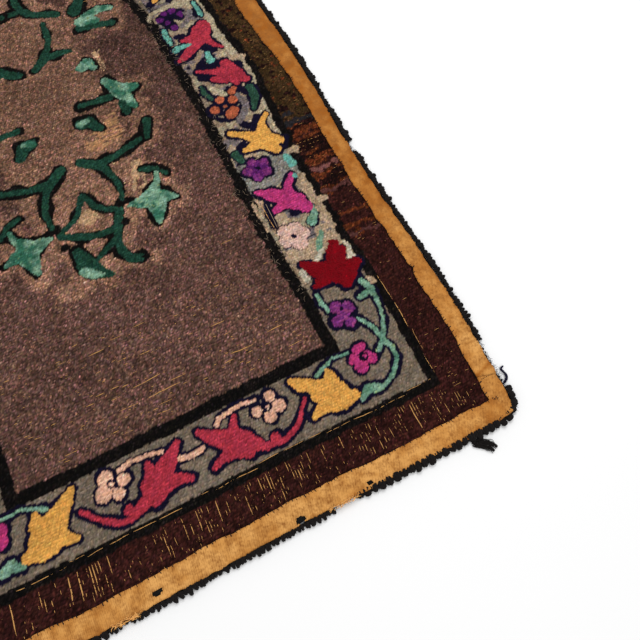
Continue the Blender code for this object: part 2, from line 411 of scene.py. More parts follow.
# The rug's size in millimetres, and where its black lines lie, in millimetres in from the edge.
MM_WIDE = 1000 * RUG_WIDTH
MM_LONG = 1000 * RUG_LENGTH
OUTER_LINE = (100, 117)
INNER_LINE = (221, 242)
OUTLINE = 6.4
MOTIF_REACH = 36

# Where other wools cross the upper margins, in millimetres along them.
MARGIN_STRIPES = [
    (400, 407, MAUVE), (416, 426, RUST), (450, 458, RUST), (459, 500, MAROON),
    (503, 512, MAUVE), (512, 520, RUST), (528, 534, DARK_BROWN), (541, 550, RUST),
    (553, 564, PINK_MAUVE), (570, 585, RUST), (588, 596, DARK_BROWN), (606, 628, DARK_BROWN),
    (632, 640, RUST), (644, 656, RUST), (657, 664, DARK_BROWN), (668, 682, NAVY_GREY),
]

# The motifs, in millimetres from the right edge and from the near end. Each is a colour, the width of its
# dark outline, and strokes: a stroke goes through its points, each with the half width that it has there.
CORNER_MOTIFS = [
    (MINT, OUTLINE, [
        [(133, 326, 5), (122, 300, 5), (125, 270, 3.2), (131, 243, 3.6), (148, 212, 3.8)],
        [(124, 298, 7), (148, 294, 4)], [(148, 212, 4), (154, 236, 3.6), (169, 261, 2.8)],
        [(148, 211, 4), (165, 197, 4)],
        [(148, 210, 4), (141, 190, 3.8), (143, 174, 3.8), (158, 153, 3.4), (184, 139, 3.2)],
        [(186, 139, 4), (197, 141, 8), (208, 145, 9), (224, 136, 4)],
    ]),
    (MINT, OUTLINE - 2, [[(211, 329, 4), (212, 312, 4), (207, 295, 3.5)]]),
    (MINT, OUTLINE - 1, [[(274, 201, 4), (258, 209, 3), (240, 216, 2), (213, 214, 2.4)]]),
    (PURPLE, OUTLINE, [
        [(192, 294, 11)], [(174, 286, 11)], [(202, 271, 10)], [(183, 260, 9)], [(188, 277, 11)],
    ]),
    (MAGENTA, OUTLINE, [
        [(197, 213, 8), (188, 215, 7)], [(208, 200, 9)], [(202, 184, 11)], [(182, 190, 10), (186, 198, 7)],
    ]),
    (PALE_PINK, 2, [
        [(200, 465, 13)], [(181, 464, 13)], [(207, 447, 13)], [(187, 433, 14)], [(172, 449, 12)],
    ]),
    (MINT, OUTLINE - 2, [[(131, 492, 4), (134, 478, 5), (147, 464, 9)]]),
    (MINT, 0, [[(143, 437, 4), (155, 421, 6), (163, 408, 6)]]),
    (MAGENTA, OUTLINE, [
        [(198, 512, 5), (172, 520, 12), (152, 514, 18)], [(208, 562, 5), (188, 547, 13), (160, 525, 16)],
        [(137, 568, 6), (153, 550, 7), (156, 522, 14)], [(142, 496, 13)],
    ]),
    (PURPLE, OUTLINE - 1, [
        [(191, 625, 9)], [(171, 617, 9), (186, 611, 9)], [(174, 597, 10)], [(194, 592, 9)], [(206, 610, 9)],
    ]),
    (DARK_PURPLE, 0, [
        [(180, 626, 1.5), (187, 611, 7)], [(165, 607, 1.5), (187, 611, 7)],
        [(203, 622, 1.5), (187, 611, 7)], [(184, 588, 1.5), (187, 611, 6)],
        [(206, 599, 1.5), (187, 611, 6)],
    ]),
    (NAVY, 0, [[(190, 612, 3.4), (184, 609, 3.4)]]),
    (AQUA, 0, [[(127, 612, 6), (124, 592, 8)], [(131, 565, 5)]]),
    (NAVY, 0, [
        [(191, 671, 8), (200, 667, 6)], [(173, 716, 8), (156, 704, 6), (141, 721, 8)],
        [(110, 651, 7), (122, 634, 8)], [(170, 712, 8), (154, 698, 6)],
        [(203, 536, 5), (209, 510, 8), (211, 484, 8)],
    ]),
    (IVORY, 0, [[(221, 528, 2), (222, 492, 2.4), (221, 463, 2.4), (219, 433, 2)]]),
    (YELLOW, OUTLINE, [
        [(204, 706, 5), (180, 690, 8), (150, 668, 19)], [(123, 719, 5), (140, 702, 6), (147, 672, 17)],
        [(192, 655, 5), (165, 660, 12)], [(137, 634, 9), (146, 656, 20)], [(121, 651, 8), (142, 662, 15)],
    ]),
    (LEAF_GREEN, OUTLINE - 3, [[(212, 655, 8), (207, 637, 6)]]),
    (YELLOW, OUTLINE, [
        [(317, 211, 5), (302, 196, 12), (278, 174, 21), (262, 158, 26)], [(256, 200, 5), (257, 184, 13)],
        [(306, 141, 5), (288, 150, 11), (262, 157, 22)], [(232, 146, 8), (252, 149, 18)],
    ]),
]
MENDED_FLOWER = [
    [(203, 391, 6), (188, 372, 16), (150, 348, 24)],
    [(135, 405, 8), (147, 386, 13), (152, 366, 20)],
    [(118, 356, 7), (145, 350, 20)],
    [(154, 328, 11), (150, 345, 20)],
    [(129, 388, 7), (142, 374, 12)],
    [(203, 342, 5), (182, 352, 15)],
]
END_MOTIFS = [
    (CRIMSON, OUTLINE, [
        [(481, 203, 5), (460, 184, 12), (425, 155, 22)], [(475, 142, 5), (452, 150, 9), (425, 153, 16)],
        [(421, 200, 4), (430, 180, 9)], [(420, 139, 10)],
        [(410, 147, 12), (393, 134, 6), (360, 131, 4.4), (340, 139, 4), (325, 154, 3.8), (308, 176, 3)],
        [(374, 141, 8)],
    ]),
    (PEACH, OUTLINE - 1, [
        [(357, 205, 9)], [(385, 191, 9)], [(368, 174, 10)], [(350, 184, 11)], [(366, 188, 6)],
    ]),
    (PEACH, OUTLINE - 1.5, [
        [(450, 201, 4), (443, 208, 4), (422, 211, 3.4), (400, 212, 3.2), (380, 210, 2.8)],
        [(519, 179, 4), (500, 174, 4.2), (482, 178, 4)],
    ]),
    (CRIMSON, OUTLINE, [
        [(515, 204, 5), (535, 186, 13), (568, 156, 22)], [(514, 145, 6), (535, 152, 9), (568, 154, 18)],
        [(567, 194, 5), (567, 178, 10)], [(571, 141, 12)],
        [(590, 143, 10), (615, 130, 5), (632, 133, 4.6), (652, 146, 4), (668, 161, 3.8), (680, 174, 3)],
        [(614, 144, 8)],
    ]),
    (PEACH, OUTLINE, [
        [(632, 203, 12)], [(642, 182, 13)], [(620, 173, 10)], [(608, 190, 10)], [(630, 190, 9)],
    ]),
    (PEACH, OUTLINE - 1.5, [[(609, 206, 4), (590, 210, 4), (566, 208, 3.4), (543, 203, 3.4)]]),
]
SIDE_MOTIFS = [
    (NAVY, 0, [
        [(165, 929, 7), (155, 916, 8)], [(189, 888, 8), (173, 876, 6)], [(202, 854, 8), (180, 840, 8)],
        [(145, 801, 8), (139, 784, 6)], [(146, 1034, 6), (137, 1021, 6)], [(201, 978, 6), (187, 979, 6)],
    ]),
    (LEAF_GREEN, OUTLINE, [[(125, 793, 8), (124, 768, 9), (139, 741, 4)]]),
    (LEAF_GREEN, OUTLINE - 1, [[(210, 832, 4), (211, 815, 5), (204, 797, 4)]]),
    (ORANGE, OUTLINE + 2, [
        [(190, 789, 9)], [(161, 799, 8), (153, 804, 5)], [(167, 779, 10)], [(208, 769, 9)],
    ]),
    (ORANGE, OUTLINE, [[(187, 770, 4)], [(182, 748, 12), (176, 754, 10)]]),
    (LAVENDER, 0, [[(155, 786, 5), (148, 762, 7), (158, 740, 7), (177, 725, 6)]]),
    (IVORY, 0, [
        [(196, 826, 6), (187, 810, 8), (176, 797, 5)], [(118, 1010, 5), (117, 994, 7), (122, 960, 5)],
        [(122, 955, 5), (121, 926, 6), (118, 888, 6), (110, 868, 4)],
    ]),
    (NAVY, 0, [
        [(169, 939, 5), (159, 919, 7), (146, 912, 6)], [(222, 763, 5), (209, 744, 6), (193, 735, 5)],
        [(182, 892, 7), (194, 883, 7), (199, 858, 7)], [(138, 1040, 4), (140, 1016, 4)],
    ]),
    (AQUA, OUTLINE - 3, [[(163, 912, 5), (165, 890, 8)]]),
    (CRIMSON, OUTLINE, [
        [(201, 873, 4), (179, 862, 6), (154, 852, 15)], [(142, 869, 12), (141, 842, 21)],
        [(140, 838, 18), (122, 815, 7)], [(181, 842, 6), (160, 836, 13)], [(142, 813, 5), (145, 830, 14)],
        [(139, 986, 15), (147, 975, 20), (163, 955, 18), (180, 940, 12), (200, 925, 9), (219, 915, 5)],
        [(130, 915, 4), (142, 929, 6), (150, 950, 11)], [(192, 964, 5), (168, 962, 12)],
    ]),
    (AQUA, OUTLINE - 2, [
        [(217, 945, 7), (202, 950, 6), (184, 948, 4)], [(216, 1005, 5), (218, 984, 6), (217, 966, 4)],
    ]),
    (LAVENDER, 0, [
        [(213, 1075, 4), (195, 1079, 5), (174, 1078, 4)], [(146, 1036, 5), (159, 1016, 6), (179, 1002, 5)],
    ]),
    (IVORY, 0, [[(233, 1046, 4), (222, 1061, 5), (205, 1066, 5), (179, 1069, 5), (154, 1061, 5)]]),
    (NAVY, 3, [[(206, 1040, 11), (180, 1048, 12), (171, 1030, 8)], [(200, 1028, 12), (193, 1006, 8)]]),
    (DARK_PURPLE, 0, [
        [(212, 1037, 8)], [(197, 1051, 7)], [(179, 1053, 8)], [(167, 1036, 7)], [(193, 1006, 8)],
        [(200, 1024, 6)],
    ]),
    (AQUA, OUTLINE - 3, [[(129, 1056, 4), (129, 1034, 5), (129, 1013, 3.5)]]),
]
MIDDLE_SCROLL = [
    (SCROLL_GREEN, OUTLINE, [
        [(557, 633, 7), (530, 620, 7), (512, 612, 7), (491, 606, 6.5), (464, 606, 6.5)],
        [(448, 634, 8), (460, 603, 7), (468, 578, 7), (468, 555, 8), (460, 538, 8), (445, 531, 8)],
    ]),
    (BLACK, 0, [[(440, 531, 2.4), (424, 524, 1.6)]]),
    (SCROLL_GREEN, OUTLINE - 1, [[(471, 584, 6), (490, 574, 5), (512, 562, 4)]]),
    (SCROLL_GREEN, OUTLINE, [
        [(443, 638, 6), (470, 653, 5), (486, 668, 5.5), (500, 698, 6)],
        [(557, 640, 6), (530, 653, 5), (514, 668, 5.5), (502, 696, 6)],
        [(540, 592, 8), (532, 562, 18), (524, 543, 17)], [(502, 525, 7), (520, 538, 14)],
    ]),
    (MINT, 0, [[(540, 549, 9), (526, 536, 8), (514, 531, 4)]]),
]
NEAR_SCROLL = [
    (BLACK, 0, [[(440, 652, 10), (418, 650, 5)], [(444, 610, 8)]]),
    (SCROLL_GREEN, OUTLINE, [
        [(434, 659, 5), (430, 690, 5.5), (436, 715, 6), (443, 735, 7), (456, 750, 9)],
        [(482, 770, 9), (455, 750, 10), (416, 753, 6.5), (392, 761, 6.5), (363, 769, 6)],
        [(348, 770, 6), (335, 806, 8)],
    ]),
    (MINT, OUTLINE, [
        [(428, 639, 3), (408, 636, 12), (386, 634, 20), (364, 629, 14), (342, 620, 4)],
        [(389, 581, 4), (385, 599, 11), (382, 616, 18)],
    ]),
    (MINT, OUTLINE - 1, [[(378, 648, 13), (366, 664, 6), (360, 683, 4)]]),
    (SCROLL_GREEN, OUTLINE - 1, [
        [(344, 676, 5), (352, 684, 4)], [(354, 690, 4), (364, 696, 6), (374, 700, 7), (383, 704, 5)],
    ]),
    (SCROLL_GREEN, OUTLINE, [[(450, 852, 12), (436, 850, 13), (422, 828, 8)]]),
    (MINT, 0, [[(453, 852, 7), (437, 856, 6)]]),
    (SCROLL_GREEN, OUTLINE, [
        [(437, 894, 6), (407, 892, 7), (380, 890, 9)], [(361, 842, 8), (358, 862, 11)],
    ]),
    (MINT, OUTLINE, [
        [(372, 934, 8), (362, 914, 14), (354, 898, 19), (342, 897, 14), (325, 896, 8)],
        [(342, 849, 6), (349, 872, 12), (354, 892, 17)],
    ]),
    (SCROLL_GREEN, 0, [[(362, 846, 8), (362, 866, 8)]]),
]
FAR_SCROLL = [
    (SCROLL_GREEN, OUTLINE, [
        [(431, 1135, 6), (434, 1087, 6), (443, 1066, 6), (456, 1048, 9)],
        [(482, 1025, 9), (455, 1044, 10), (416, 1043, 6.5), (405, 1041, 5)],
        [(495, 1192, 6.5), (464, 1190, 6.5), (443, 1169, 8), (400, 1150, 9)],
        [(452, 1175, 9), (464, 1195, 7), (470, 1222, 7), (467, 1247, 9), (455, 1264, 8)],
    ]),
    (MINT, OUTLINE, [[(400, 986, 11), (386, 995, 12), (378, 976, 6)]]),
    (SCROLL_GREEN, OUTLINE, [[(368, 1092, 9), (335, 1084, 8), (303, 1077, 8)]]),
    (MINT, 3, [
        [(362, 1106, 12), (344, 1108, 15), (331, 1098, 9)],
        [(346, 1116, 10), (316, 1125, 9), (293, 1118, 8)],
    ]),
    (SCROLL_GREEN, OUTLINE, [[(362, 1142, 14), (345, 1166, 10)]]),
]
FLOWER_RINGS = [(192, 197, 6.0), (186, 289, 2.0), (626, 191, 5.4), (366, 190, 5.4), (190, 450, 3.0)]
RING_WIDTH = 1.9
GLOWS = [[(386, 719, 9), (397, 676, 13)], [(500, 648, 17)], [(360, 1020, 6), (362, 960, 7)]]
STREAK = [[(440, 800, 22), (400, 806, 18), (392, 850, 12)]]


def from_edges(x, y):
    """Millimetres from the right edge and from the near end, of places in metres."""
    return 500 - 1000 * x, 900 + 1000 * y


def in_metres(from_right, from_near):
    """Places in metres, of millimetres from the right edge and from the near end."""
    return 0.5 - from_right / 1000, from_near / 1000 - 0.9


def stroke_distance(u, v, strokes):
    """How far points are from the nearest stroke's edge, less than nothing inside it."""
    nearest = np.full(u.shape, 1e3)
    for stroke in strokes:
        legs = list(zip(stroke, stroke[1:])) or [(stroke[0], stroke[0])]
        for (x0, y0, r0), (x1, y1, r1) in legs:
            run_x, run_y = x1 - x0, y1 - y0
            length = max(run_x**2 + run_y**2, 1e-9)
            t = np.clip(((u - x0) * run_x + (v - y0) * run_y) / length, 0, 1)
            reach = np.hypot(u - x0 - t * run_x, v - y0 - t * run_y) - (r0 + t * (r1 - r0))
            nearest = np.minimum(nearest, reach)
    return nearest


def mirrored(motifs, across, along):
    """The same motifs on the other half of the rug, across it, along it or both."""

    def moved(x, y, reach):
        return MM_WIDE - x if across else x, MM_LONG - y if along else y, reach

    return [
        (color, outline, [[moved(*point) for point in stroke] for stroke in strokes])
        for color, outline, strokes in motifs
    ]


all_motifs = [CORNER_MOTIFS, SIDE_MOTIFS, END_MOTIFS]
whole_corner = CORNER_MOTIFS + [(CRIMSON, OUTLINE, MENDED_FLOWER)]
all_motifs += [mirrored(whole_corner, a, b) for a, b in ((True, False), (False, True), (True, True))]
all_motifs += [mirrored(SIDE_MOTIFS, True, False), mirrored(END_MOTIFS, False, True)]
scrolls = [MIDDLE_SCROLL, NEAR_SCROLL, FAR_SCROLL]
scrolls += [mirrored(NEAR_SCROLL, True, False), mirrored(FAR_SCROLL, True, False)]
all_motifs += scrolls


def hook_motifs(color, u, v):
    """Hooks the dark outlines, then the motifs over them."""
    for motifs in all_motifs:
        scrolled = motifs in scrolls
        dark = BLACK if scrolled else NAVY
        usual, uneven = (0.72, 1.2) if scrolled else (0.92, 0.5)
        found = []
        for wool, outline, strokes in motifs:
            xs = [x for stroke in strokes for x, _, _ in stroke]
            ys = [y for stroke in strokes for _, y, _ in stroke]
            near_x = (u > min(xs) - MOTIF_REACH) & (u < max(xs) + MOTIF_REACH)
            near_y = (v > min(ys) - MOTIF_REACH) & (v < max(ys) + MOTIF_REACH)
            spots = np.nonzero(near_x & near_y)
            reach = stroke_distance(u[spots], v[spots], strokes)
            width = outline * (usual + uneven * drift(u[spots] / 1000, v[spots] / 1000, 0.024, 14))
            color[tuple(s[(reach < width) & (reach >= 0)] for s in spots)] = dark
            found.append((wool, tuple(s[reach < 0] for s in spots)))
        for wool, spots in found:
            color[spots] = wool


def line_lean(v):
    """How far the inner line leans inward along the right side, in millimetres."""
    return 19 * peak(v, 1150, 86)


def margin_colors(x, y, side, end, rag):
    """The dark wool outside the black line, which was patched along the upper sides."""
    color = np.empty(x.shape + (3,))
    color[:] = MAROON
    patch = drift(x, y, 0.018, 7) + 0.6 * drift(x * 0.35, y, 0.006, 8)
    upper = (side < end) & (end > 400)
    color[upper & (patch > 0.35)] = RUST
    color[upper & (patch < -0.35) & (end > 480)] = DARK_BROWN
    old = (side < end) & (end > 672)
    color[old] = OLIVE_BROWN
    color[old & (patch > 0.42) & (end > 930)] = RUST
    color[old & (patch < -0.55) & (end < 710)] = NAVY_GREY
    color[old & (drift(x, y, 0.009, 19) > 0.74)] = RUST
    color[old & (drift(x, y, 0.007, 20) < -0.42)] = DARK_BROWN
    for low, high, wool in MARGIN_STRIPES:
        color[(side < end) & (end + rag > low) & (end + rag < high) & (patch > -0.75)] = wool
    return color


def band_colors(x, y, side, end, edge):
    """The pale wool behind the flowers, mended away from the corners with scraps of other shades."""
    beside = side < 225
    light = ramp(end - 330, 70) * np.clip((740 - end) / 60, 0.5, 1)
    ground = np.array(TAUPE) + (np.array(BEIGE) - TAUPE) * light[..., None] * beside[..., None]
    grey = beside & (end > 560 + 8 * drift(x, y, 0.02, 9)) & (end < 628)
    ground[grey] = GREY
    tone = drift(x, y, 0.024, 15) + 0.5 * drift(x, y, 0.008, 17)
    mended = beside & (end > 430) & ~grey
    ground[mended & (tone > 0.28)] = IVORY
    ground[mended & (tone < -0.30)] = LAVENDER
    ground[mended & (edge < 129 + 6 * drift(x, y, 0.012, 18)) & (end > 500)] = IVORY
    ground[mended & (tone < -0.66)] = NAVY
    return ground


def hook_field(color, field, x, y, u, v):
    """Hooks the paler wool of the field, round the scrolls and in the middle."""
    scroll = [stroke for motifs in scrolls[:3] for _, _, strokes in motifs for stroke in strokes]
    fold_u = np.minimum(u, MM_WIDE - u)
    around = np.full(u.shape, 1e3)
    inner = (fold_u > 260) & (v > 460) & (v < 1340)
    around[inner] = stroke_distance(fold_u[inner], v[inner], scroll)
    heart = ((u - 500) / 118) ** 2 + (np.abs(v - 900) / 372) ** 2.4
    mingled = np.random.default_rng(16).uniform(-7, 7, x.shape)
    reach = 19 + 11 * drift(x, y, 0.03, 10) + 6 * drift(x, y, 0.009, 11) + mingled
    pale = field & ((around < reach) | (heart < 1))
    color[pale] = PINK_TAN
    color[pale & (stroke_distance(u, v, GLOWS) < 4 * drift(x, y, 0.01, 12))] = CREAM
    streaked = (stroke_distance(u, v, STREAK) < 0) & (drift(x * 0.2, y, 0.004, 13) > -0.1)
    color[pale & streaked] = STRAW


def zone_colors(x, y):
    """The wool hooked at points of the plan, in metres, before the loops' own shades."""
    u, v = from_edges(x, y)
    u = u + 1.1 * drift(x, y, 0.013, 1) + 0.6 * drift(x, y, 0.006, 2)
    v = v + 1.1 * drift(x, y, 0.013, 3) + 0.6 * drift(x, y, 0.006, 4)
    side = np.minimum(u, MM_WIDE - u)
    end = np.minimum(v, MM_LONG - v)
    right = u < 500
    worn = 1 + 2.2 * ramp(end - 310, 60) * right
    rag = (1.6 * drift(x, y, 0.03, 5) + 1.2 * drift(x, y, 0.008, 6) + 0.7 * drift(x, y, 0.004, 22)) * worn
    edge = np.minimum(side + np.where(right, 10 * peak(v, 840, 95), 0), end)
    inner_edge = np.minimum(side - np.where(right, line_lean(v), 0), end)
    color = margin_colors(x, y, side, end, rag)
    band = (edge + rag * 0.6 > OUTER_LINE[1]) & (inner_edge + rag * 0.6 < INNER_LINE[0])
    color[(edge + rag * 0.6 > OUTER_LINE[0]) & ~band] = BLACK
    color[band] = band_colors(x, y, side, end, edge)[band]
    color[inner_edge + rag * 0.6 >= INNER_LINE[0]] = BLACK
    field = inner_edge + rag * 0.7 > INNER_LINE[1]
    color[field] = FIELD
    hook_field(color, field, x, y, u, v)
    hook_motifs(color, u, v)
    for ring_x, ring_y, radius in FLOWER_RINGS:
        ring = np.abs(np.hypot(u - ring_x, v - ring_y) - radius)
        color[ring < RING_WIDTH] = NAVY
    return color


def even_steps(low, high, cell):
    """Values from low to high, evenly spaced at about the cell."""
    return np.linspace(low, high, round((high - low) / cell) + 1)


def grid_faces(columns, rows):
    """The faces of a sheet whose points go along each column in turn."""
    first = np.arange(columns - 1)[:, None] * rows + np.arange(rows - 1)
    return np.stack([first, first + rows, first + rows + 1, first + 1], axis=-1).reshape(-1, 4)


def dye(item, layer, colors):
    """Gives the piece's points their own colours."""
    shades = item.data.color_attributes.new(layer, "FLOAT_COLOR", "POINT")
    flat = np.ones((len(item.data.vertices), 4))
    flat[:, :3] = colors
    shades.data.foreach_set("color", flat.ravel())


burlap_half_x = RUG_WIDTH / 2 - GROUND_INSET
burlap_half_y = RUG_LENGTH / 2 - GROUND_INSET
across = even_steps(-burlap_half_x, burlap_half_x, UNDERSIDE_CELL)
along = even_steps(-burlap_half_y, burlap_half_y, UNDERSIDE_CELL)
under_x, under_y = (g.ravel() for g in np.meshgrid(across, along, indexing="ij"))
columns, rows = len(across), len(along)
under = laid(under_x, under_y, 0.0)
under_faces = grid_faces(columns, rows)[:, ::-1]
rim = [c * rows for c in range(columns)] + [(columns - 1) * rows + r for r in range(1, rows)]
rim += [c * rows + rows - 1 for c in range(columns - 2, -1, -1)] + list(range(rows - 2, 0, -1))
points = [under]
faces = [tuple(f) for f in under_faces]
level_rings = ((0.0, GROUND_TOP - 0.0004), (0.0285, GROUND_TOP - 0.0004), (0.0325, 0.0037))
previous = rim
for inset, height in level_rings:
    shrink_x = 1 - inset / burlap_half_x
    shrink_y = 1 - inset / burlap_half_y
    first = sum(len(p) for p in points)
    points.append(laid(under_x[rim] * shrink_x, under_y[rim] * shrink_y, height))
    ring = list(range(first, first + len(rim)))
    for i in range(len(rim)):
        k = (i + 1) % len(rim)
        faces.append((previous[i], previous[k], ring[k], ring[i]))
    previous = ring
faces.append(tuple(previous))
points = corner_pushed(np.concatenate(points), CORNER_PUSH)

burlap_finish = Finish("burlap_finish", 0.95, 0.02)
weave = burlap_finish.noise(0.0026, 2.0)
shaded = burlap_finish.mixed(weave * 0.7, burlap_finish.painted("dye"), (0.02, 0.014, 0.010, 1), "MULTIPLY")
burlap_finish.shade(shaded, weave, 0.0015)
burlap = piece("burlap_ground", points, faces, burlap_finish)
ground_colors = np.empty((len(points), 3))
ground_colors[:] = BURLAP
under_colors = zone_colors(under_x, under_y)
under_edge = np.minimum(RUG_WIDTH / 2 - np.abs(under_x), RUG_LENGTH / 2 - np.abs(under_y))
under_colors[stroke_distance(*from_edges(under_x, under_y), MENDED_FLOWER) < 0] = CRIMSON
under_colors[under_edge < 0.022] = BLACK
ground_colors[len(under) :] = (0.016, 0.015, 0.014)
ground_colors[: len(under)] = under_colors
dye(burlap, "dye", ground_colors)
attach(burlap, "root")
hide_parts("hooked_ground")


# The wool is hooked through the burlap in rows of small loops, so that each loop shows its own shade.
# The rows run across the rug, and where loops stand apart a thread of bare burlap shows between them.
LOOP_CELL = 0.0023
WOOL_HALF_X = 0.460
WOOL_COLUMNS = 400
WOOL_ROWS = 748
WOOL_PATCHES = 4
LOOP_RISE = 0.0004
LOOP_GAP = 0.0003
ROW_GAP = 0.0006
WOOL_SEED = 23
PALE_RAGS = [
    [(212, 378, 7), (211, 362, 7)],
    [(134, 366, 3), (120, 372, 7), (116, 392, 5), (119, 402, 4)],
    [(176, 392, 6), (160, 402, 5)],
    [(117, 322, 4), (114, 310, 6)],
    [(122, 500, 6), (104, 499, 7)],
    [(119, 618, 5), (104, 622, 6), (103, 612, 5)],
    [(122, 880, 8), (104, 872, 7)],
    [(120, 560, 6), (122, 530, 8), (118, 440, 6)],
    [(226, 540, 3), (225, 480, 3)],
]
# How much the shade changes from loop to loop in each wool; the others have the usual grain.
USUAL_GRAIN = 0.22
GRAINS = {
    FIELD: 0.50,
    PINK_TAN: 0.46,
    MAROON: 0.46,
    DARK_BROWN: 0.60,
    OLIVE_BROWN: 0.45,
    RUST: 0.52,
    TAUPE: 0.26,
    BEIGE: 0.26,
    GREY: 0.30,
    IVORY: 0.26,
    LAVENDER: 0.30,
    BLACK: 0.60,
    SCROLL_GREEN: 0.34,
    LEAF_GREEN: 0.30,
    STRAW: 0.30,
    CREAM: 0.30,
    YELLOW: 0.15,
}


def wandered(x, y):
    """Where points of the straight rows lie, as the rows of loops wander a little."""
    moved_x = x + 0.0016 * drift(x, y, 0.045, 21) + 0.0007 * drift(x, y, 0.011, 22)
    moved_y = y + 0.0016 * drift(x, y, 0.040, 23) + 0.0007 * drift(x, y, 0.011, 24)
    return moved_x, moved_y


wool_x = (np.arange(WOOL_COLUMNS + 1) - WOOL_COLUMNS / 2) * LOOP_CELL
wool_y = (np.arange(WOOL_ROWS + 1) - WOOL_ROWS / 2) * LOOP_CELL
plan_x, plan_y = np.meshgrid(wool_x, wool_y, indexing="ij")
column, row = np.meshgrid(np.arange(WOOL_COLUMNS + 1), np.arange(WOOL_ROWS + 1), indexing="ij")
edge_x = RUG_WIDTH / 2 - np.abs(plan_x)
edge_y = RUG_LENGTH / 2 - np.abs(plan_y)
between_rows = row % 2 == 1
loop_top = ~between_rows & ((column + row // 2) % 2 == 0)

chance = np.random.default_rng(WOOL_SEED)
loose_x, loose_y = wandered(plan_x, plan_y)
loose_x = loose_x + chance.uniform(-0.0004, 0.0004, plan_x.shape)
loose_y = loose_y + chance.uniform(-0.0004, 0.0004, plan_x.shape)
color = zone_colors(loose_x, loose_y)


def loop_values(spread, seed):
    """One random number for each loop, shared by the points that belong to it."""
    count = (WOOL_COLUMNS // 2 + 2, WOOL_ROWS // 2 + 2)
    draws = np.random.default_rng(seed).uniform(-1.7 * spread, 1.7 * spread, count)
    return draws[(column + 1) // 2, (row + 1) // 2]


def ragged_distance(strokes, amount, pitch, seed):
    """How far the loops are from the strokes, whose edges wander by that many millimetres."""
    u, v = from_edges(loose_x, loose_y)
    u = u + amount * drift(plan_x, plan_y, pitch, seed)
    v = v + amount * drift(plan_x, plan_y, pitch, seed + 1)
    return stroke_distance(u, v, strokes)


def hooked_in(wool):
    """Where the loops have that wool."""
    return (color == np.array(wool)).all(axis=-1)


red_flower = ragged_distance(MENDED_FLOWER, 1.5, 0.009, 31)
pale_rags = ragged_distance(PALE_RAGS, 2.5, 0.007, 33)
color[(red_flower < OUTLINE) & (plan_y < -0.50)] = NAVY
color[pale_rags < 0] = BEIGE
color[(pale_rags < -1) & (plan_y < -0.48) & (plan_y > -0.55)] = (0.50, 0.44, 0.33)
color[red_flower < 0] = DARK_RED

leaf = hooked_in(MINT)
flecks = leaf & (drift(plan_x, plan_y, 0.0042, 38) > 0.80)
mottle = 0.5 + 0.9 * drift(plan_x, plan_y, 0.014, 36) + 0.5 * drift(plan_x, plan_y, 0.006, 37)
mottle = np.clip(np.where(edge_x > 0.28, mottle, 0.48 + 0.5 * mottle), 0, 1)[..., None]
mottled = np.array(SCROLL_GREEN) * 2.7 * (1 - mottle) + np.array(MINT) * 1.15 * mottle
color = np.where(leaf[..., None], mottled, color)
color[flecks] = FRESH_GREEN
violet = hooked_in(PURPLE)
color[violet & (drift(plan_x, plan_y, 0.0045, 39) > 0.40)] = (0.240, 0.045, 0.160)
color[violet & (drift(plan_x, plan_y, 0.0045, 40) > 0.62)] = DARK_PURPLE
heather = loop_values(0.11, 41) + 0.05 * drift(plan_x * 0.2, plan_y, 0.004, 42)
heather = heather + 0.08 * drift(plan_x, plan_y, 0.06, 43)
warm = loop_values(0.05, 44)[..., None] * np.array([1.0, 0.1, -0.8])
strength = np.full(plan_x.shape, USUAL_GRAIN)
for wool, amount in GRAINS.items():
    strength[hooked_in(wool)] = amount
plain = (strength == GRAINS[FIELD]) | (strength == GRAINS[PINK_TAN])
grain = np.random.default_rng(49).normal(0, 1, plan_x.shape + (3,))
grain = (grain[..., :1] * (0.90, 1.04, 1.08) + 0.22 * grain) * strength[..., None]
blotches = 0.20 * drift(plan_x, plan_y, 0.022, 52) + 0.14 * drift(plan_x, plan_y, 0.009, 53)
grain = grain + (blotches * ramp(strength, 0.4))[..., None]
color = color * (1 + np.where(plain, 1.5, 0.8) * heather)[..., None] * (1 + warm)
field_fade = -0.16 * ramp(-plan_y - 0.2, 0.4) - 0.42 * peak(plan_y, 0.08, 0.33)
color = np.where(plain[..., None], color * (1 + field_fade[..., None]), color)
# Painted shade and highlight: each loop's top is painted lighter, and the points between loops and between
# rows darker, as if in the loops' own shadow; the plain field wools get the stronger shading.
loops = np.where(loop_top, 1.13, np.where(between_rows, 0.80, 0.95))
painted_bold_loop_shade = np.where(loop_top, 1.20, np.where(between_rows, 0.72, 0.92))
color = color * np.where(plain, painted_bold_loop_shade, loops)[..., None] * np.exp(grain)

height = np.where(loop_top, LOOP_RISE, np.where(between_rows, -ROW_GAP, -LOOP_GAP))
height = height + 0.00034 * loop_values(1.0, 45) + 0.0003 * drift(plan_x, plan_y, 0.03, 46)
height = height + chance.uniform(-0.0003, 0.0003, plan_x.shape)
height = height + np.where(red_flower < 4, 0.0019 - 0.0001 * np.clip(red_flower, -10, 9), 0)
locks = 0.0012 * drift(plan_x, plan_y, 0.012, 47) + 0.0003 * drift(plan_x, plan_y, 0.004, 48)
height = np.where(red_flower < 0, 0.0016 + locks + 0.0014 * ramp(-red_flower, 10), height)
margin = np.minimum(edge_x, edge_y)
height = height - 0.0005 * ramp(0.050 - margin, 0.006)

color = np.clip(color, 0.002, 0.9)
wool = laid(loose_x, loose_y, GROUND_TOP + swell(plan_x, plan_y) + height)

wool_finish = Finish("wool_finish", 0.97, 0.0)
fibre = wool_finish.noise(0.0011, 3.0)
clump = wool_finish.noise(0.0042, 2.0)
dyed = wool_finish.painted("dye")
stops = [(0.25, 0.62), (0.5, 1.0), (0.75, 1.42)]
contrast = wool_finish.node("ShaderNodeValToRGB", {"stops": stops}, [fibre * 0.75 + clump * 0.25])
heathered = wool_finish.mixed(1.0, dyed, contrast, "MULTIPLY")
wool_finish.shade(heathered, fibre * 0.7 + clump * 0.5, 0.0011)

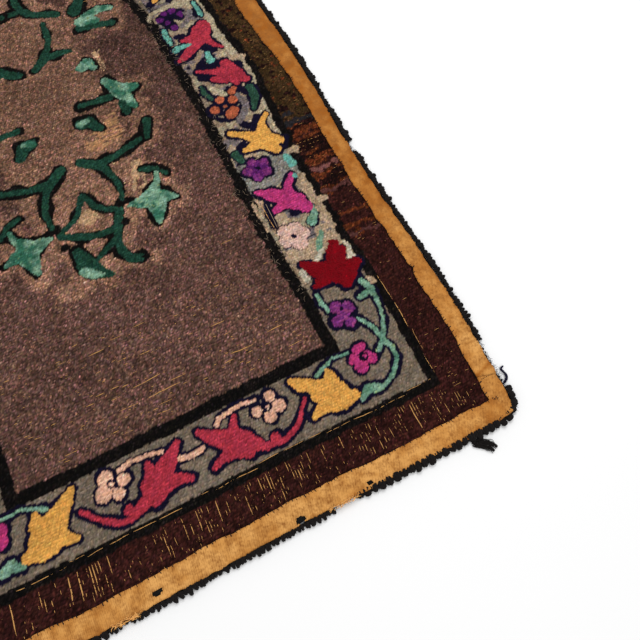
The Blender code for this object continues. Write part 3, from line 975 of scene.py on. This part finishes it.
patch_rows = WOOL_ROWS // WOOL_PATCHES
for number in range(WOOL_PATCHES):
    part = slice(number * patch_rows, (number + 1) * patch_rows + 1)
    patch_faces = grid_faces(WOOL_COLUMNS + 1, patch_rows + 1)
    patch = piece(f"hooked_wool_{number + 1}", wool[:, part].reshape(-1, 3), patch_faces, wool_finish)
    dye(patch, "dye", color[:, part].reshape(-1, 3))
    flat = patch.data.uv_layers.new(name="OFBake")
    low_y = wool_y[part][0]
    corners = np.empty(len(patch.data.loops), int)
    patch.data.loops.foreach_get("vertex_index", corners)
    share_x = (plan_x[:, part].ravel()[corners] + WOOL_HALF_X) / (2 * WOOL_HALF_X)
    share_y = (plan_y[:, part].ravel()[corners] - low_y) / (2 * WOOL_HALF_X)
    flat.data.foreach_set("uv", np.stack([share_x, share_y], axis=-1).ravel())
    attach(patch, "root")


# Between loops that stand apart, threads of the burlap lie bare, most of them beside the tape.
# Those are drawn at random; the longer ones on the field are set where they show most.
BARE_ON_FIELD = [
    (609, 321, 13), (588, 328, 14), (564, 329, 15), (549, 323, 13), (499, 315, 47),
    (475, 289, 62), (547, 289, 30), (468, 299, 20), (602, 286, 16), (588, 261, 13),
    (544, 270, 10), (521, 265, 10), (561, 298, 9), (345, 291, 40), (285, 300, 30),
]
bare_threads = []


def between_loops(distance):
    """The gap between two rows of loops that lies nearest to that distance from the middle."""
    return 1000 * LOOP_CELL * (round(distance / 1000 / LOOP_CELL / 2) * 2 + 1)


def bare_thread(from_right, from_near, length, along_rug, radius):
    """Bares a thread between loops, from a place in millimetres from the right edge and the near end."""
    if along_rug:
        from_right = 500 - between_loops(500 - from_right)
        ends = np.array([[from_right, from_near], [from_right, from_near + length]])
    else:
        from_near = 900 + between_loops(from_near - 900)
        ends = np.array([[from_right, from_near], [from_right + length, from_near]])
    count = max(3, int(length / 9) + 2)
    share = np.linspace(0, 1, count)[:, None]
    line = ends[0] * (1 - share) + ends[1] * share
    x, y = in_metres(line[:, 0], line[:, 1])
    rise = GROUND_TOP + swell(x, y) - (0.0002 if along_rug else 0.0005)
    radii = np.full(count, radius)
    radii[[0, -1]] *= 0.5
    bare_threads.append((laid(*wandered(x, y), rise), radii))


for far in (False, True):
    for _ in range(270):
        middle = chance.uniform(52, 948)
        depth = chance.uniform(44, 92)
        usual = chance.choice([3, 7, 15, 34], p=[0.46, 0.30, 0.17, 0.07])
        for _ in range(chance.integers(1, 4)):
            place = middle + chance.normal(0, 14)
            gap = depth + chance.uniform(-14, 14)
            length = min(usual * chance.uniform(0.4, 1.4), 98 - gap)
            if length > 2 and gap > 44 and gap + length < min(place, MM_WIDE - place):
                start = MM_LONG - gap - length if far else gap
                bare_thread(place, start, length, True, chance.uniform(0.00028, 0.0006) + length * 0.000012)
for left in (False, True):
    for _ in range(180):
        place = 60 + 1680 * chance.beta(0.5, 0.7)
        depth = chance.uniform(46, 92)
        length = chance.uniform(2, 9)
        start = MM_WIDE - depth - length if left else depth
        if min(place, MM_LONG - place) > depth + length:
            bare_thread(start, place, length, False, chance.uniform(0.0003, 0.0005))
    for near_rows in (606, 614, 622):
        for k in range(7):
            start = 50 + 7.5 * k + chance.uniform(-1, 1)
            start = 996 - start if left else start
            bare_thread(start, near_rows, 4, False, 0.0006)
    start = 122
    while start < 300:
        length = chance.uniform(14, 60)
        middle = 106 - 4 * peak(start, 160, 30)
        place = MM_WIDE - middle if left else middle
        bare_thread(place, start, length, True, chance.uniform(0.0005, 0.0009))
        start += length + chance.uniform(6, 24)
for far in (False, True):
    start = 112
    while start < 888:
        length = chance.uniform(10, 44)
        if chance.uniform() < 0.9:
            middle = 109 if chance.uniform() < 0.85 else 114
            place = MM_LONG - middle if far else middle
            bare_thread(start, place, length, False, chance.uniform(0.0004, 0.0009))
        start += length + chance.uniform(2, 8)
for _ in range(420):
    from_near = chance.uniform(248, 430) if chance.uniform() < 0.8 else chance.uniform(248, 1552)
    if from_near > 430 and chance.uniform() < 0.5:
        from_near = chance.uniform(1380, 1552)
    from_right = chance.uniform(252, 740)
    if 330 < from_right < 670 and 500 < from_near < 1300:
        continue
    length = chance.choice([2.5, 5, 9, 24], p=[0.45, 0.35, 0.16, 0.04])
    bare_thread(from_right, from_near, length, False, chance.uniform(0.0004, 0.0009))
for from_right, from_near, length in BARE_ON_FIELD:
    bare_thread(from_right, from_near, length, False, 0.0009)
for from_near, length in ((478, 22), (502, 32)):
    bare_thread(213, from_near, length, True, 0.0010)
bare_finish = yarn_finish("bare_burlap_finish", (0.58, 0.30, 0.095, 1))
bared = spun("bare_burlap_threads", bare_threads, 3, bare_finish)
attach(bared, "root")


# One flower was mended with thick wool whose ends are cut, not looped, so it stands up from the rug.
# Its dark red pile lies over in soft locks.
TUFT_COUNT = 900
TUFT_LENGTH = 0.0065

tuft_finish = yarn_finish("red_wool_finish", (0.19, 0.0012, 0.006, 1), 0.002)
tufts = []
inside = np.argwhere(red_flower < -1.0)
for spot in inside[chance.choice(len(inside), TUFT_COUNT)]:
    foot = wool[tuple(spot)]
    lean = 2.2 + 1.1 * float(drift(foot[0], foot[1], 0.022, 71)) + chance.normal(0, 0.25)
    away = np.array([math.cos(lean), math.sin(lean), 0.0]) * TUFT_LENGTH * chance.uniform(0.5, 1.0)
    middle = foot + away * 0.5 + (0, 0, 0.0004)
    tip = foot + away - (0, 0, 0.0004)
    tufts.append(([foot - (0, 0, 0.0007), middle, tip], np.array([0.0008, 0.0010, 0.0004])))
shaggy = spun("shaggy_flower", tufts, 4, tuft_finish)
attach(shaggy, "root")


# The binding is cotton twill tape, 32 mm wide, sewn flat round the rug in one length with mitred corners.
# Its end is folded and laps over its start near the right corner, with painted shade along the fold, and it
# is soiled, frayed and worn through.
TAPE_BOTTOM = 0.0068
TAPE_THICKNESS = 0.0009
TAPE_STEP = 0.0042
TAPE_COLUMNS = 14
TAPE_START = 1.706
TAPE_END = 1.726
TAPE_RAMP = 0.018
TAPE_LAP = 1.718
TAPE_END_SLANT = 0.010
LAP_LIFT = 0.0013
TAPE_CORNER_PUSH = 0.0045
TWILL_SLANT = 0.61
TWILL_SCALE = 130.0
TAPE_OCHRE = (0.730, 0.365, 0.105)
# The dark colour of the tape's soil, also used for the painted shade along the fold.
TAPE_SOIL_AND_SHADE = (0.340, 0.105, 0.011)
TAPE_HOLES = [
    (0.1065, -0.8850, 0.0066, 0.0048),
    (0.2230, -0.8848, 0.0046, 0.0028),
    (-0.1160, -0.8810, 0.0058, 0.0034),
]
TAPE_LEGS = [(0, TAPE_START, None), (1, None, None), (2, None, None), (3, None, None), (0, None, TAPE_END)]
CORNERS = [(1, 1), (1, -1), (-1, -1), (-1, 1)]


def side_length(leg):
    """How long a side of the rug is; the sides go right, front, left, back."""
    return RUG_LENGTH if leg % 2 == 0 else RUG_WIDTH


def rim_place(leg, distance, inset, z):
    """Points at distances along one side of the rim, set in from the edge."""
    (from_x, from_y), (to_x, to_y) = CORNERS[leg % 4], CORNERS[(leg + 1) % 4]
    share = distance / side_length(leg)
    x = (from_x + (to_x - from_x) * share) * RUG_WIDTH / 2
    y = (from_y + (to_y - from_y) * share) * RUG_LENGTH / 2
    if from_x == to_x:
        x = np.broadcast_to(from_x * (RUG_WIDTH / 2 - inset), np.shape(y))
    else:
        y = np.broadcast_to(from_y * (RUG_LENGTH / 2 - inset), np.shape(x))
    return laid(x, y, z)


def tape_width_at(leg, distance):
    """How far the tape's inner edge lies beyond its usual line, as it was sewn by eye."""
    wander = 0.0018 * drift(distance, leg * 3.0, 0.030, 51) + 0.0013 * drift(distance, leg * 3.0, 0.009, 52)
    if leg == 0:
        wander = wander + 0.009 * ramp(1.0 - distance, 0.12) * ramp(distance - 0.2, 0.2)
        wander = wander - 0.005 * peak(distance, 1.498, 0.006)
    return wander


def soil_and_shade_at(leg, distance, fold):
    """How dark the tape's dye is across its width at one step along it, from 0 to 1: soil and stains, darker
    stretches along the right side, and painted shade along the fold where its end laps over its start.
    """
    across = inset_share * 0.03 + leg
    soil_and_shade = 0.07 + 0.25 * drift(distance, across, 0.05, 56)
    soil_and_shade = soil_and_shade + 0.24 * drift(distance, across, 0.011, 58)
    soil_and_shade = soil_and_shade + 0.60 * np.clip(drift(distance, across, 0.010, 57) - 0.45, 0, 1)
    soil_and_shade = soil_and_shade + 0.16 * inset_share**4 + 0.22 * (1 - inset_share) ** 6
    if leg < 2:
        to_corner = distance if leg else RUG_LENGTH - distance
        soil_and_shade = soil_and_shade + 0.22 * peak(to_corner, 0, 0.14)
    if leg == 1:
        for spot, size in ((0.085, 0.0045), (0.109, 0.0040), (0.0620, 0.003)):
            soil_and_shade = soil_and_shade + 1.2 * peak(distance, spot, size) * (1 - inset_share) ** 3
    if leg == 0:
        # Along the right side the tape is darker away from the near corner.
        soil_and_shade = soil_and_shade + 0.58 * ramp(1.62 - distance, 0.26)
        soil_and_shade = soil_and_shade + 0.08 * ramp(1.25 - distance, 0.20)
        # Painted shade: a dark band along the fold where the tape's end laps over its start, darkest towards
        # the inner edge.
        soil_and_shade = soil_and_shade + 0.8 * peak(fold, -0.003, 0.003) * (0.3 + 0.7 * inset_share)
        soil_and_shade = soil_and_shade + 0.4 * peak(distance, 1.607, 0.005) * peak(inset_share, 0.6, 0.2)
    return np.clip(soil_and_shade, 0, 1)


tape_rows = []
tape_soil_and_shade = []
inset_share = np.linspace(0, 1, TAPE_COLUMNS + 1)
for leg, start, stop in TAPE_LEGS:
    side = side_length(leg)
    length = (side if stop is None else stop) - (0 if start is None else start)
    for t in np.linspace(0, 1, round(length / TAPE_STEP) + 1)[(1 if start is None else 0) :]:
        inset = TAPE_INSET + TAPE_WIDTH * inset_share
        first = inset if start is None else start
        final = side - inset if stop is None else stop - TAPE_END_SLANT * inset_share
        distance = first + (final - first) * t
        middle = float(np.mean(distance))
        inset = inset + tape_width_at(leg, distance) * inset_share**3
        inset = inset + 0.0021 * drift(distance, leg * 3.0, 0.013, 53) * (1 - inset_share) ** 3
        inset = inset - 0.0044 * (leg == 1) * (1 - inset_share) ** 2
        lift = 0.0
        if stop is not None:
            lift = LAP_LIFT * ramp(distance - TAPE_START + TAPE_RAMP, TAPE_RAMP)
        wrinkle = 0.00035 * drift(distance, inset_share * 0.02 + leg, 0.012, 54)
        wrinkle = wrinkle + 0.00045 * inset_share**2 * drift(distance, leg * 3.0, 0.009, 55)
        fold = distance - TAPE_LAP + TAPE_END_SLANT * (1 - inset_share)
        wrinkle = wrinkle + 0.0005 * (leg == 0) * peak(fold, 0, 0.003)
        top = TAPE_BOTTOM + TAPE_THICKNESS + lift + wrinkle - 0.0003 * (1 - inset_share) ** 4
        tape_rows.append(rim_place(leg, distance, inset, top))
        tape_soil_and_shade.append(soil_and_shade_at(leg, distance, fold))
tape_points = np.stack(tape_rows)
tape_count, tape_across = tape_points.shape[:2]
tape_points = tape_points.reshape(-1, 3)
tape_faces = grid_faces(tape_count, tape_across)
for hole_x, hole_y, half_length, half_width in TAPE_HOLES:
    off = (tape_points[:, :2] - (hole_x, hole_y)) / (half_length, half_width)
    reach = np.hypot(off[:, 0], off[:, 1])
    turned = np.arctan2(off[:, 1], off[:, 0])
    ragged = 1 + 0.16 * np.sin(3 * turned + hole_x * 40) + 0.10 * np.sin(5 * turned + 1)
    tape_faces = tape_faces[(reach[tape_faces] / ragged[tape_faces]).min(axis=1) > 0.72]
    rim_of_hole = reach / ragged < 1.30
    pull = np.where(rim_of_hole, ragged / np.maximum(reach, 0.3), 1.0)
    used = np.zeros(len(tape_points), bool)
    used[tape_faces] = True
    move = rim_of_hole & used
    tape_points[move, :2] = (hole_x, hole_y) + (tape_points[move, :2] - (hole_x, hole_y)) * pull[move, None]
tape_points = corner_pushed(tape_points, TAPE_CORNER_PUSH)
keep = np.unique(tape_faces)
renumber = np.zeros(len(tape_points), int)
renumber[keep] = np.arange(len(keep))

tape_finish = Finish("tape_finish", 0.85, 0.03)
slant = (0, 0, TWILL_SLANT)
slope = tape_finish.node("ShaderNodeMapping", {}, {"Vector": tape_finish.place(), "Rotation": slant})
ribs = {"Vector": slope, "Scale": TWILL_SCALE, "Distortion": 1.6, "Detail": 1.0}
twill = tape_finish.node("ShaderNodeTexWave", {}, ribs, 1)
rub = tape_finish.noise(0.004, 3.0)
lint = tape_finish.noise(0.0013, 2.0, (1, 3, 1))
stain = tape_finish.noise(0.013, 4.0)
grime = twill * 0.36 + (rub - 0.42) * 1.4 + (stain - 0.5) * 1.8 + (lint - 0.45) * 0.6
worn = tape_finish.mixed(grime, tape_finish.painted("dye"), (0.27, 0.095, 0.018, 1))
tape_finish.shade(worn, twill * 0.4 + rub * 0.6, 0.0010)
tape = piece("binding_tape_sewn", tape_points[keep], renumber[tape_faces], tape_finish)
# The dye mixes the ochre with the dark colour by the soil and by the painted shade at the fold.
soil_and_shade = np.stack(tape_soil_and_shade).reshape(-1)[keep][:, None]
blended = np.array(TAPE_OCHRE) * (1 - soil_and_shade) + np.array(TAPE_SOIL_AND_SHADE) * soil_and_shade
deepened = np.array(TAPE_OCHRE) ** (1 - soil_and_shade) * np.array(TAPE_SOIL_AND_SHADE) ** soil_and_shade
dye(tape, "dye", 0.45 * blended + 0.55 * deepened)
thicken = tape.modifiers.new("cloth", "SOLIDIFY")
thicken.thickness = TAPE_THICKNESS
thicken.offset = -1.0
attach(tape, "root")
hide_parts("binding_tape")


# Where the tape is worn through at the front, its strands lie loose over the edge,
# in two places: each is given from its start to its end, with its number of strands.
TAPE_FRAYS = ((0.644, 0.686, 70), (0.298, 0.345, 50))

strand_finish = yarn_finish("tape_strand_finish", (0.80, 0.42, 0.13, 1))
strands = []
for start, stop, count in TAPE_FRAYS:
    for _ in range(count):
        lean = 0.6 * chance.normal()
        length = chance.uniform(0.003, 0.011)
        steps = np.linspace(-0.5, 0.5, 4)
        bend = chance.uniform(-0.002, 0.002) * np.cos(math.pi * steps)
        distance = chance.uniform(start, stop) + length * steps * math.cos(lean)
        inset = chance.uniform(0.0035, 0.0085) + length * steps * math.sin(lean) + bend
        line = rim_place(1, distance, inset, 0.0086 + 0.0016 * np.cos(math.pi * steps))
        strands.append((line, chance.uniform(0.0003, 0.0006) * np.array([0.4, 1.0, 1.0, 0.4])))
tape_strands = spun("tape_strands", strands, 3, strand_finish)
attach(tape_strands, "root")


# The tape is hemmed to the wool with small slanted stitches of dark thread, each over its inner edge,
# and the near right corner is caught down with a few more across its mitre.
STITCH_PITCH = 0.0068
STITCH_RADIUS = 0.00075
MITRE_STITCHES = 9
LAP_STITCHES = 8
CROSSED_STITCHES = [(61, 36), (59, 38), (38, 43), (35, 40), (32, 42), (30, 39)]

thread_finish = yarn_finish("thread_finish", (0.012, 0.008, 0.008, 1))
stitches = []


def tack(x, y, z, thickest):
    """One short stitch through three points, thickest in its middle."""
    stitches.append((laid(x, y, z), np.array([0.0003, thickest, 0.0003])))


for leg in range(4):
    distance = 0.047
    while distance < side_length(leg) - 0.047:
        if chance.uniform() < 0.82:
            hem = TAPE_INSET + TAPE_WIDTH + float(tape_width_at(leg, distance))
            slant = chance.uniform(0.0005, 0.003)
            over = chance.uniform(0.0010, 0.0055)
            steps = np.array([0.0, 0.3, 0.7, 1.0])
            line = rim_place(
                leg,
                distance + slant * steps,
                hem - over + (over + 0.0016) * steps,
                TAPE_BOTTOM + TAPE_THICKNESS + np.array([0.0001, 0.0011, 0.0011, -0.0012]),
            )
            radii = STITCH_RADIUS * chance.uniform(0.6, 1.2) * np.array([0.5, 1.0, 1.0, 0.7])
            stitches.append((line, radii))
        distance += STITCH_PITCH * chance.uniform(0.6, 1.5)
for k in range(MITRE_STITCHES):
    along_mitre = 0.016 + 0.0029 * k
    x = RUG_WIDTH / 2 - along_mitre + chance.uniform(-0.001, 0.001)
    y = -RUG_LENGTH / 2 + along_mitre + 0.004 + chance.uniform(-0.001, 0.001)
    x = x + np.array([-0.0011, 0, 0.0011])
    y = y + np.array([0.0004, 0.001, 0.0014])
    tack(x, y, TAPE_BOTTOM + 0.0013, 0.0005)
for k in range(LAP_STITCHES):
    x = RUG_WIDTH / 2 - 0.017 - 0.003 * k + np.array([-0.0009, 0, 0.0009])
    y = -RUG_LENGTH / 2 + 0.077 + chance.uniform(-0.0004, 0.0004) + np.array([0, 0.0002, 0.0002])
    tack(x, y, TAPE_BOTTOM + TAPE_THICKNESS + LAP_LIFT + 0.0006, 0.0005)
for from_right, from_near in CROSSED_STITCHES:
    for turn in (0.4, 1.9):
        x, y = in_metres(from_right, from_near)
        x = x + 0.0018 * math.cos(turn) * np.array([-1, 0, 1])
        y = y + 0.0018 * math.sin(turn) * np.array([-1, 0, 1])
        tack(x, y, TAPE_BOTTOM + TAPE_THICKNESS + 0.0007, 0.0007)
hem = spun("hem_stitches", stitches, 4, thread_finish)
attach(hem, "root")


# The rim is whipped over with thick black wool, wrap beside wrap, which has felted into lumps with age
# and has come away in three places; short fibres stand out from it all round.
EDGING_RADIUS = 0.0050
CORNER_RUN = 2
FRONT_RUN = 3
EDGING_STEP = 0.0030
EDGING_JOIN = 0.060
WRAP_PITCH = 0.0036
LUMP_REACH = 0.0040
LUMP_COUNT = 500
CORE_SHARE = 0.80
WRAP_TAPER = np.array([0.55, 1.0, 1.05, 0.9])
LUMP_TAPER = np.array([0.55, 1.0, 1.0, 0.55])
WISP_TAPER = np.array([0.6, 1.0, 0.5])
HAIR_COUNT = 2200
RIM_LENGTH = 5.5
EDGING_RUNS = [
    [(0, EDGING_JOIN, 1.213)],
    [(0, 1.237, 1.664)],
    [(0, 1.750, 1.795), (1, 0.0175, 0.302)],
    [(1, 0.338, 0.995), (2, 0.0175, 0.0594)],
    [(2, EDGING_JOIN, 1.795), (3, 0.0175, 0.0594)],
    [(3, EDGING_JOIN, 0.995), (0, 0.0175, 0.0594)],
]
WORN_PLACES = [(0, 1.205, 1.245), (0, 1.655, 1.755), (1, 0.300, 0.340)]


def hair_from(foot, lean, shortest, longest):
    """One fibre that stands out of the edge, leans that way and droops."""
    out = np.array([math.cos(lean), math.sin(lean), 0])
    length = chance.uniform(shortest, longest)
    curl = np.array([-out[1], out[0], 0.0]) * chance.uniform(-0.5, 0.5) * length
    start = foot + out * 0.002 + (0, 0, chance.uniform(-0.002, 0.003))
    middle = foot + out * (0.004 + length * 0.5) + curl * 0.4 + (0, 0, chance.uniform(-0.002, 0.002))
    tip = foot + out * (0.004 + length) + curl + (0, 0, chance.uniform(-0.0035, 0.0015))
    line = np.stack([start, middle, tip])
    line[:, 2] = np.clip(line[:, 2], 0.0004, 0.0105)
    return line, np.array([0.00030, 0.00022, 0.00008])


def along_run(places, marks, values):
    """The values at places along a run of the edge, between the marks where they are known."""
    return np.stack([np.interp(places, marks, values[:, axis]) for axis in range(3)], axis=-1)


cores = []
wraps = []
hairs = []
for number, legs in enumerate(EDGING_RUNS):
    sides = [
        rim_place(leg, even_steps(start, stop, EDGING_STEP), EDGING_RADIUS, 0.0) for leg, start, stop in legs
    ]
    line = corner_pushed(np.concatenate(sides), CORNER_PUSH)
    gone = measured(line)
    even = np.arange(0, gone[-1], EDGING_STEP)
    line = along_run(even, gone, line)
    along = np.gradient(line, axis=0)
    along /= np.linalg.norm(along, axis=1, keepdims=True)
    outward = np.cross(along, (0, 0, 1.0))
    if np.sum(outward[:, :2] * line[:, :2]) < 0:
        outward = -outward
    swollen = 0.80 + 0.20 * drift(even, number, 0.017, 62) + 0.16 * drift(even, number, 0.007, 63)
    radius = EDGING_RADIUS * np.clip(swollen, 0.50, 1.05)
    radius[[0, -1]] *= 0.4
    if number == FRONT_RUN:
        radius *= 1 - 0.45 * peak(even, 0.327, 0.015)
    line[:, 2] = np.minimum(radius, EDGING_RADIUS)
    core_line = line.copy()
    if number == FRONT_RUN:
        core_line -= 0.0008 * outward
        core_line[:, 2] = CORE_SHARE * radius
    cores.append((core_line, CORE_SHARE * radius))
    lump_length = 0.0045 if number == CORNER_RUN else 0.0005
    lump_ends = np.cumsum(chance.uniform(0.0055, 0.0100, LUMP_COUNT) + lump_length)
    lump_sizes = 0.15 + 1.15 * chance.uniform(0, 1, LUMP_COUNT) ** 1.5
    for place in np.arange(0.001, gone[-1] - 0.001, WRAP_PITCH):
        spot = place + chance.uniform(-0.0012, 0.0012)
        k = int(np.clip(round(spot / EDGING_STEP), 1, len(line) - 2))
        middle = along_run(spot, even, line)
        size = radius[k]
        lump = int(np.searchsorted(lump_ends, spot))
        lump_start = lump_ends[lump - 1] if lump else 0.0
        arch = math.sin(math.pi * ramp(spot - lump_start, lump_ends[lump] - lump_start)) ** 0.7
        bulge = LUMP_REACH * arch * lump_sizes[lump] * min(size / 0.0035, 1)
        thick = size * (0.42 + 0.28 * arch) * chance.uniform(0.88, 1.15)
        slant = along[k] * chance.uniform(-0.0018, 0.0018)
        gather = along[k] * 0.5 * ((lump_start + lump_ends[lump]) / 2 - spot)
        out = outward[k]
        covered = 0.0004 if number == FRONT_RUN else max(size, 0.0052)
        reach_in = covered + 0.4 * bulge + chance.uniform(-0.0006, 0.0014)
        ragged = 0.0018 if number == FRONT_RUN else 0.0006
        reach_out = size * 0.70 + bulge + chance.uniform(-0.0006, ragged)
        top = min(2 * size, 0.0088)
        loop = np.stack(
            [
                middle - out * reach_in - slant,
                middle - out * reach_in * 0.45 - slant * 0.4,
                middle + out * reach_out * 0.5 + slant * 0.4 + gather * 0.5,
                middle + out * reach_out + slant + gather,
            ]
        )
        loop[:, 2] = [max(top - 0.0002, 0.0080), top + 0.0002, top - thick * 0.8, max(thick * 0.9, 0.0024)]
        wraps.append((loop, thick * WRAP_TAPER))
    if number < FRONT_RUN:
        for low, high, size in zip(lump_ends, lump_ends[1:], lump_sizes[1:]):
            if high > gone[-1] - 0.002:
                break
            spots = low + (high - low) * np.linspace(0.1, 0.9, 4)
            middle = along_run(spots, even, line)
            out = along_run(spots, even, outward)
            thick = 0.0028 + 0.0016 * size
            middle = middle + out * (0.0005 + 0.0034 * size)
            middle[:, 2] = thick
            wraps.append((middle, thick * LUMP_TAPER))
    for _ in range(int(HAIR_COUNT * even[-1] / RIM_LENGTH)):
        lean = chance.uniform(0, math.tau)
        foot = line[chance.integers(2, len(line) - 2)]
        hairs.append(hair_from(foot, lean, 0.002, 0.0065))
for leg, start, stop in WORN_PLACES:
    for _ in range(int((stop - start) / 0.0005)):
        foot = rim_place(leg, chance.uniform(start, stop), 0.0095, 0.0045 + chance.uniform(-0.003, 0.003))
        lean = chance.uniform(0, math.tau)
        hairs.append(hair_from(foot, lean, -0.001, 0.005))
    for place in np.arange(start + 0.004, stop - 0.004, 0.0065):
        if chance.uniform() < 0.75:
            inset = 0.0095 + chance.uniform(-0.0012, 0.0012)
            distance = place + np.array([0, 0.0016, 0.0034])
            wisp = rim_place(leg, distance, inset, 0.0058 + np.array([0, 0.0008, -0.0004]))
            wraps.append((wisp, chance.uniform(0.0010, 0.0020) * WISP_TAPER))
whipping = spun("whipped_edge", wraps, 5, yarn_finishes["black_yarn"])
core = spun("edge_core", cores, 6, yarn_finishes["black_yarn"])
fuzz = spun("edge_fibres", hairs, 3, yarn_finishes["black_yarn"])
for part in (core, whipping, fuzz):
    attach(part, "root")
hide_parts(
    "edging_right_far",
    "edging_right_near",
    "edging_corner",
    "edging_front",
    "edging_left",
    "edging_back",
)


# Along the upper right the burlap has frayed, and its threads lie loose over the inner black line,
# with wisps of black wool among them and three longer threads over the flowers.
FRAY_COUNT = 800
FRAY_TAPER = np.array([0.00012, 0.0003, 0.0003, 0.00012])
LONG_FRAYS = [
    [(184, 628), (172, 630), (163, 638)],
    [(181, 633), (174, 636), (166, 634)],
    [(205, 531), (206, 507), (208, 478)],
]
LONG_FRAY_POINTS = 7
LONG_FRAY_RADIUS = 0.0007

fray_finish = yarn_finish("burlap_thread_finish", (0.26, 0.19, 0.13, 1))
frays = {"pale": [], "dark": []}
for number in range(FRAY_COUNT):
    from_near = chance.uniform(330, 1130)
    from_right = line_lean(from_near) + chance.choice([222, 242]) + 6 * chance.normal()
    lean = chance.uniform(0, math.tau)
    length = chance.uniform(4, 13)
    steps = np.linspace(-0.5, 0.5, 4)
    bend = chance.uniform(-2, 2) * np.cos(math.pi * steps)
    across = from_right + length * steps * math.cos(lean) - bend * math.sin(lean)
    along = from_near + length * steps * math.sin(lean) + bend * math.cos(lean)
    x, y = in_metres(across, along)
    rise = GROUND_TOP + swell(x, y) + 0.0004 + 0.0004 * np.cos(math.pi * steps)
    kind = "pale" if number % 3 == 0 else "dark"
    frays[kind].append((laid(x, y, rise), FRAY_TAPER))
for spots in LONG_FRAYS:
    line = smooth_route([(*in_metres(u, v), GROUND_TOP + 0.0018) for u, v in spots], LONG_FRAY_POINTS)
    frays["pale"].append((laid(*line.T), np.full(LONG_FRAY_POINTS, LONG_FRAY_RADIUS)))
frayed = spun("frayed_threads", frays["pale"], 3, fray_finish)
frayed_wool = spun("frayed_black_wool", frays["dark"], 3, yarn_finishes["black_yarn"])
for part in (frayed, frayed_wool):
    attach(part, "root")


# The rug lies on a plain pale floor under soft light from a wide panel overhead,
# with a weaker one in front and pale light from all round.
FLOOR_SIZE = 12.0
LIGHT_AROUND = 0.62
LIGHTS = [("panel", (1.1, 0.4, 2.4), 1.6, 34), ("fill", (-0.2, -2.2, 2.2), 1.6, 16)]

floor_finish = Finish("floor_finish", 0.9, 0.0)
mottle = floor_finish.noise(0.5, 2.0)
floor_finish.feed(
    floor_finish.shader.inputs["Base Color"],
    floor_finish.mixed(mottle * 0.1, (0.90, 0.90, 0.90, 1), (0.86, 0.86, 0.86, 1)),
)
half = FLOOR_SIZE / 2
floor_points = [(-half, -half, 0), (half, -half, 0), (half, half, 0), (-half, half, 0)]
floor = piece("floor", floor_points, [(0, 1, 2, 3)], floor_finish)

world = bpy.data.worlds.new("studio")
world.use_nodes = True
world.node_tree.nodes["Background"].inputs["Color"].default_value = (1, 1, 1, 1)
world.node_tree.nodes["Background"].inputs["Strength"].default_value = LIGHT_AROUND
bpy.context.scene.world = world
for name, place, size, power in LIGHTS:
    lamp_data = bpy.data.lights.new(name, "AREA")
    lamp_data.size = size
    lamp_data.energy = power
    lamp = bpy.data.objects.new(name, lamp_data)
    lamp.location = place
    lamp.rotation_euler = (Vector((0.2, -0.4, 0)) - Vector(place)).to_track_quat("-Z", "Y").to_euler()
    bpy.context.scene.collection.objects.link(lamp)
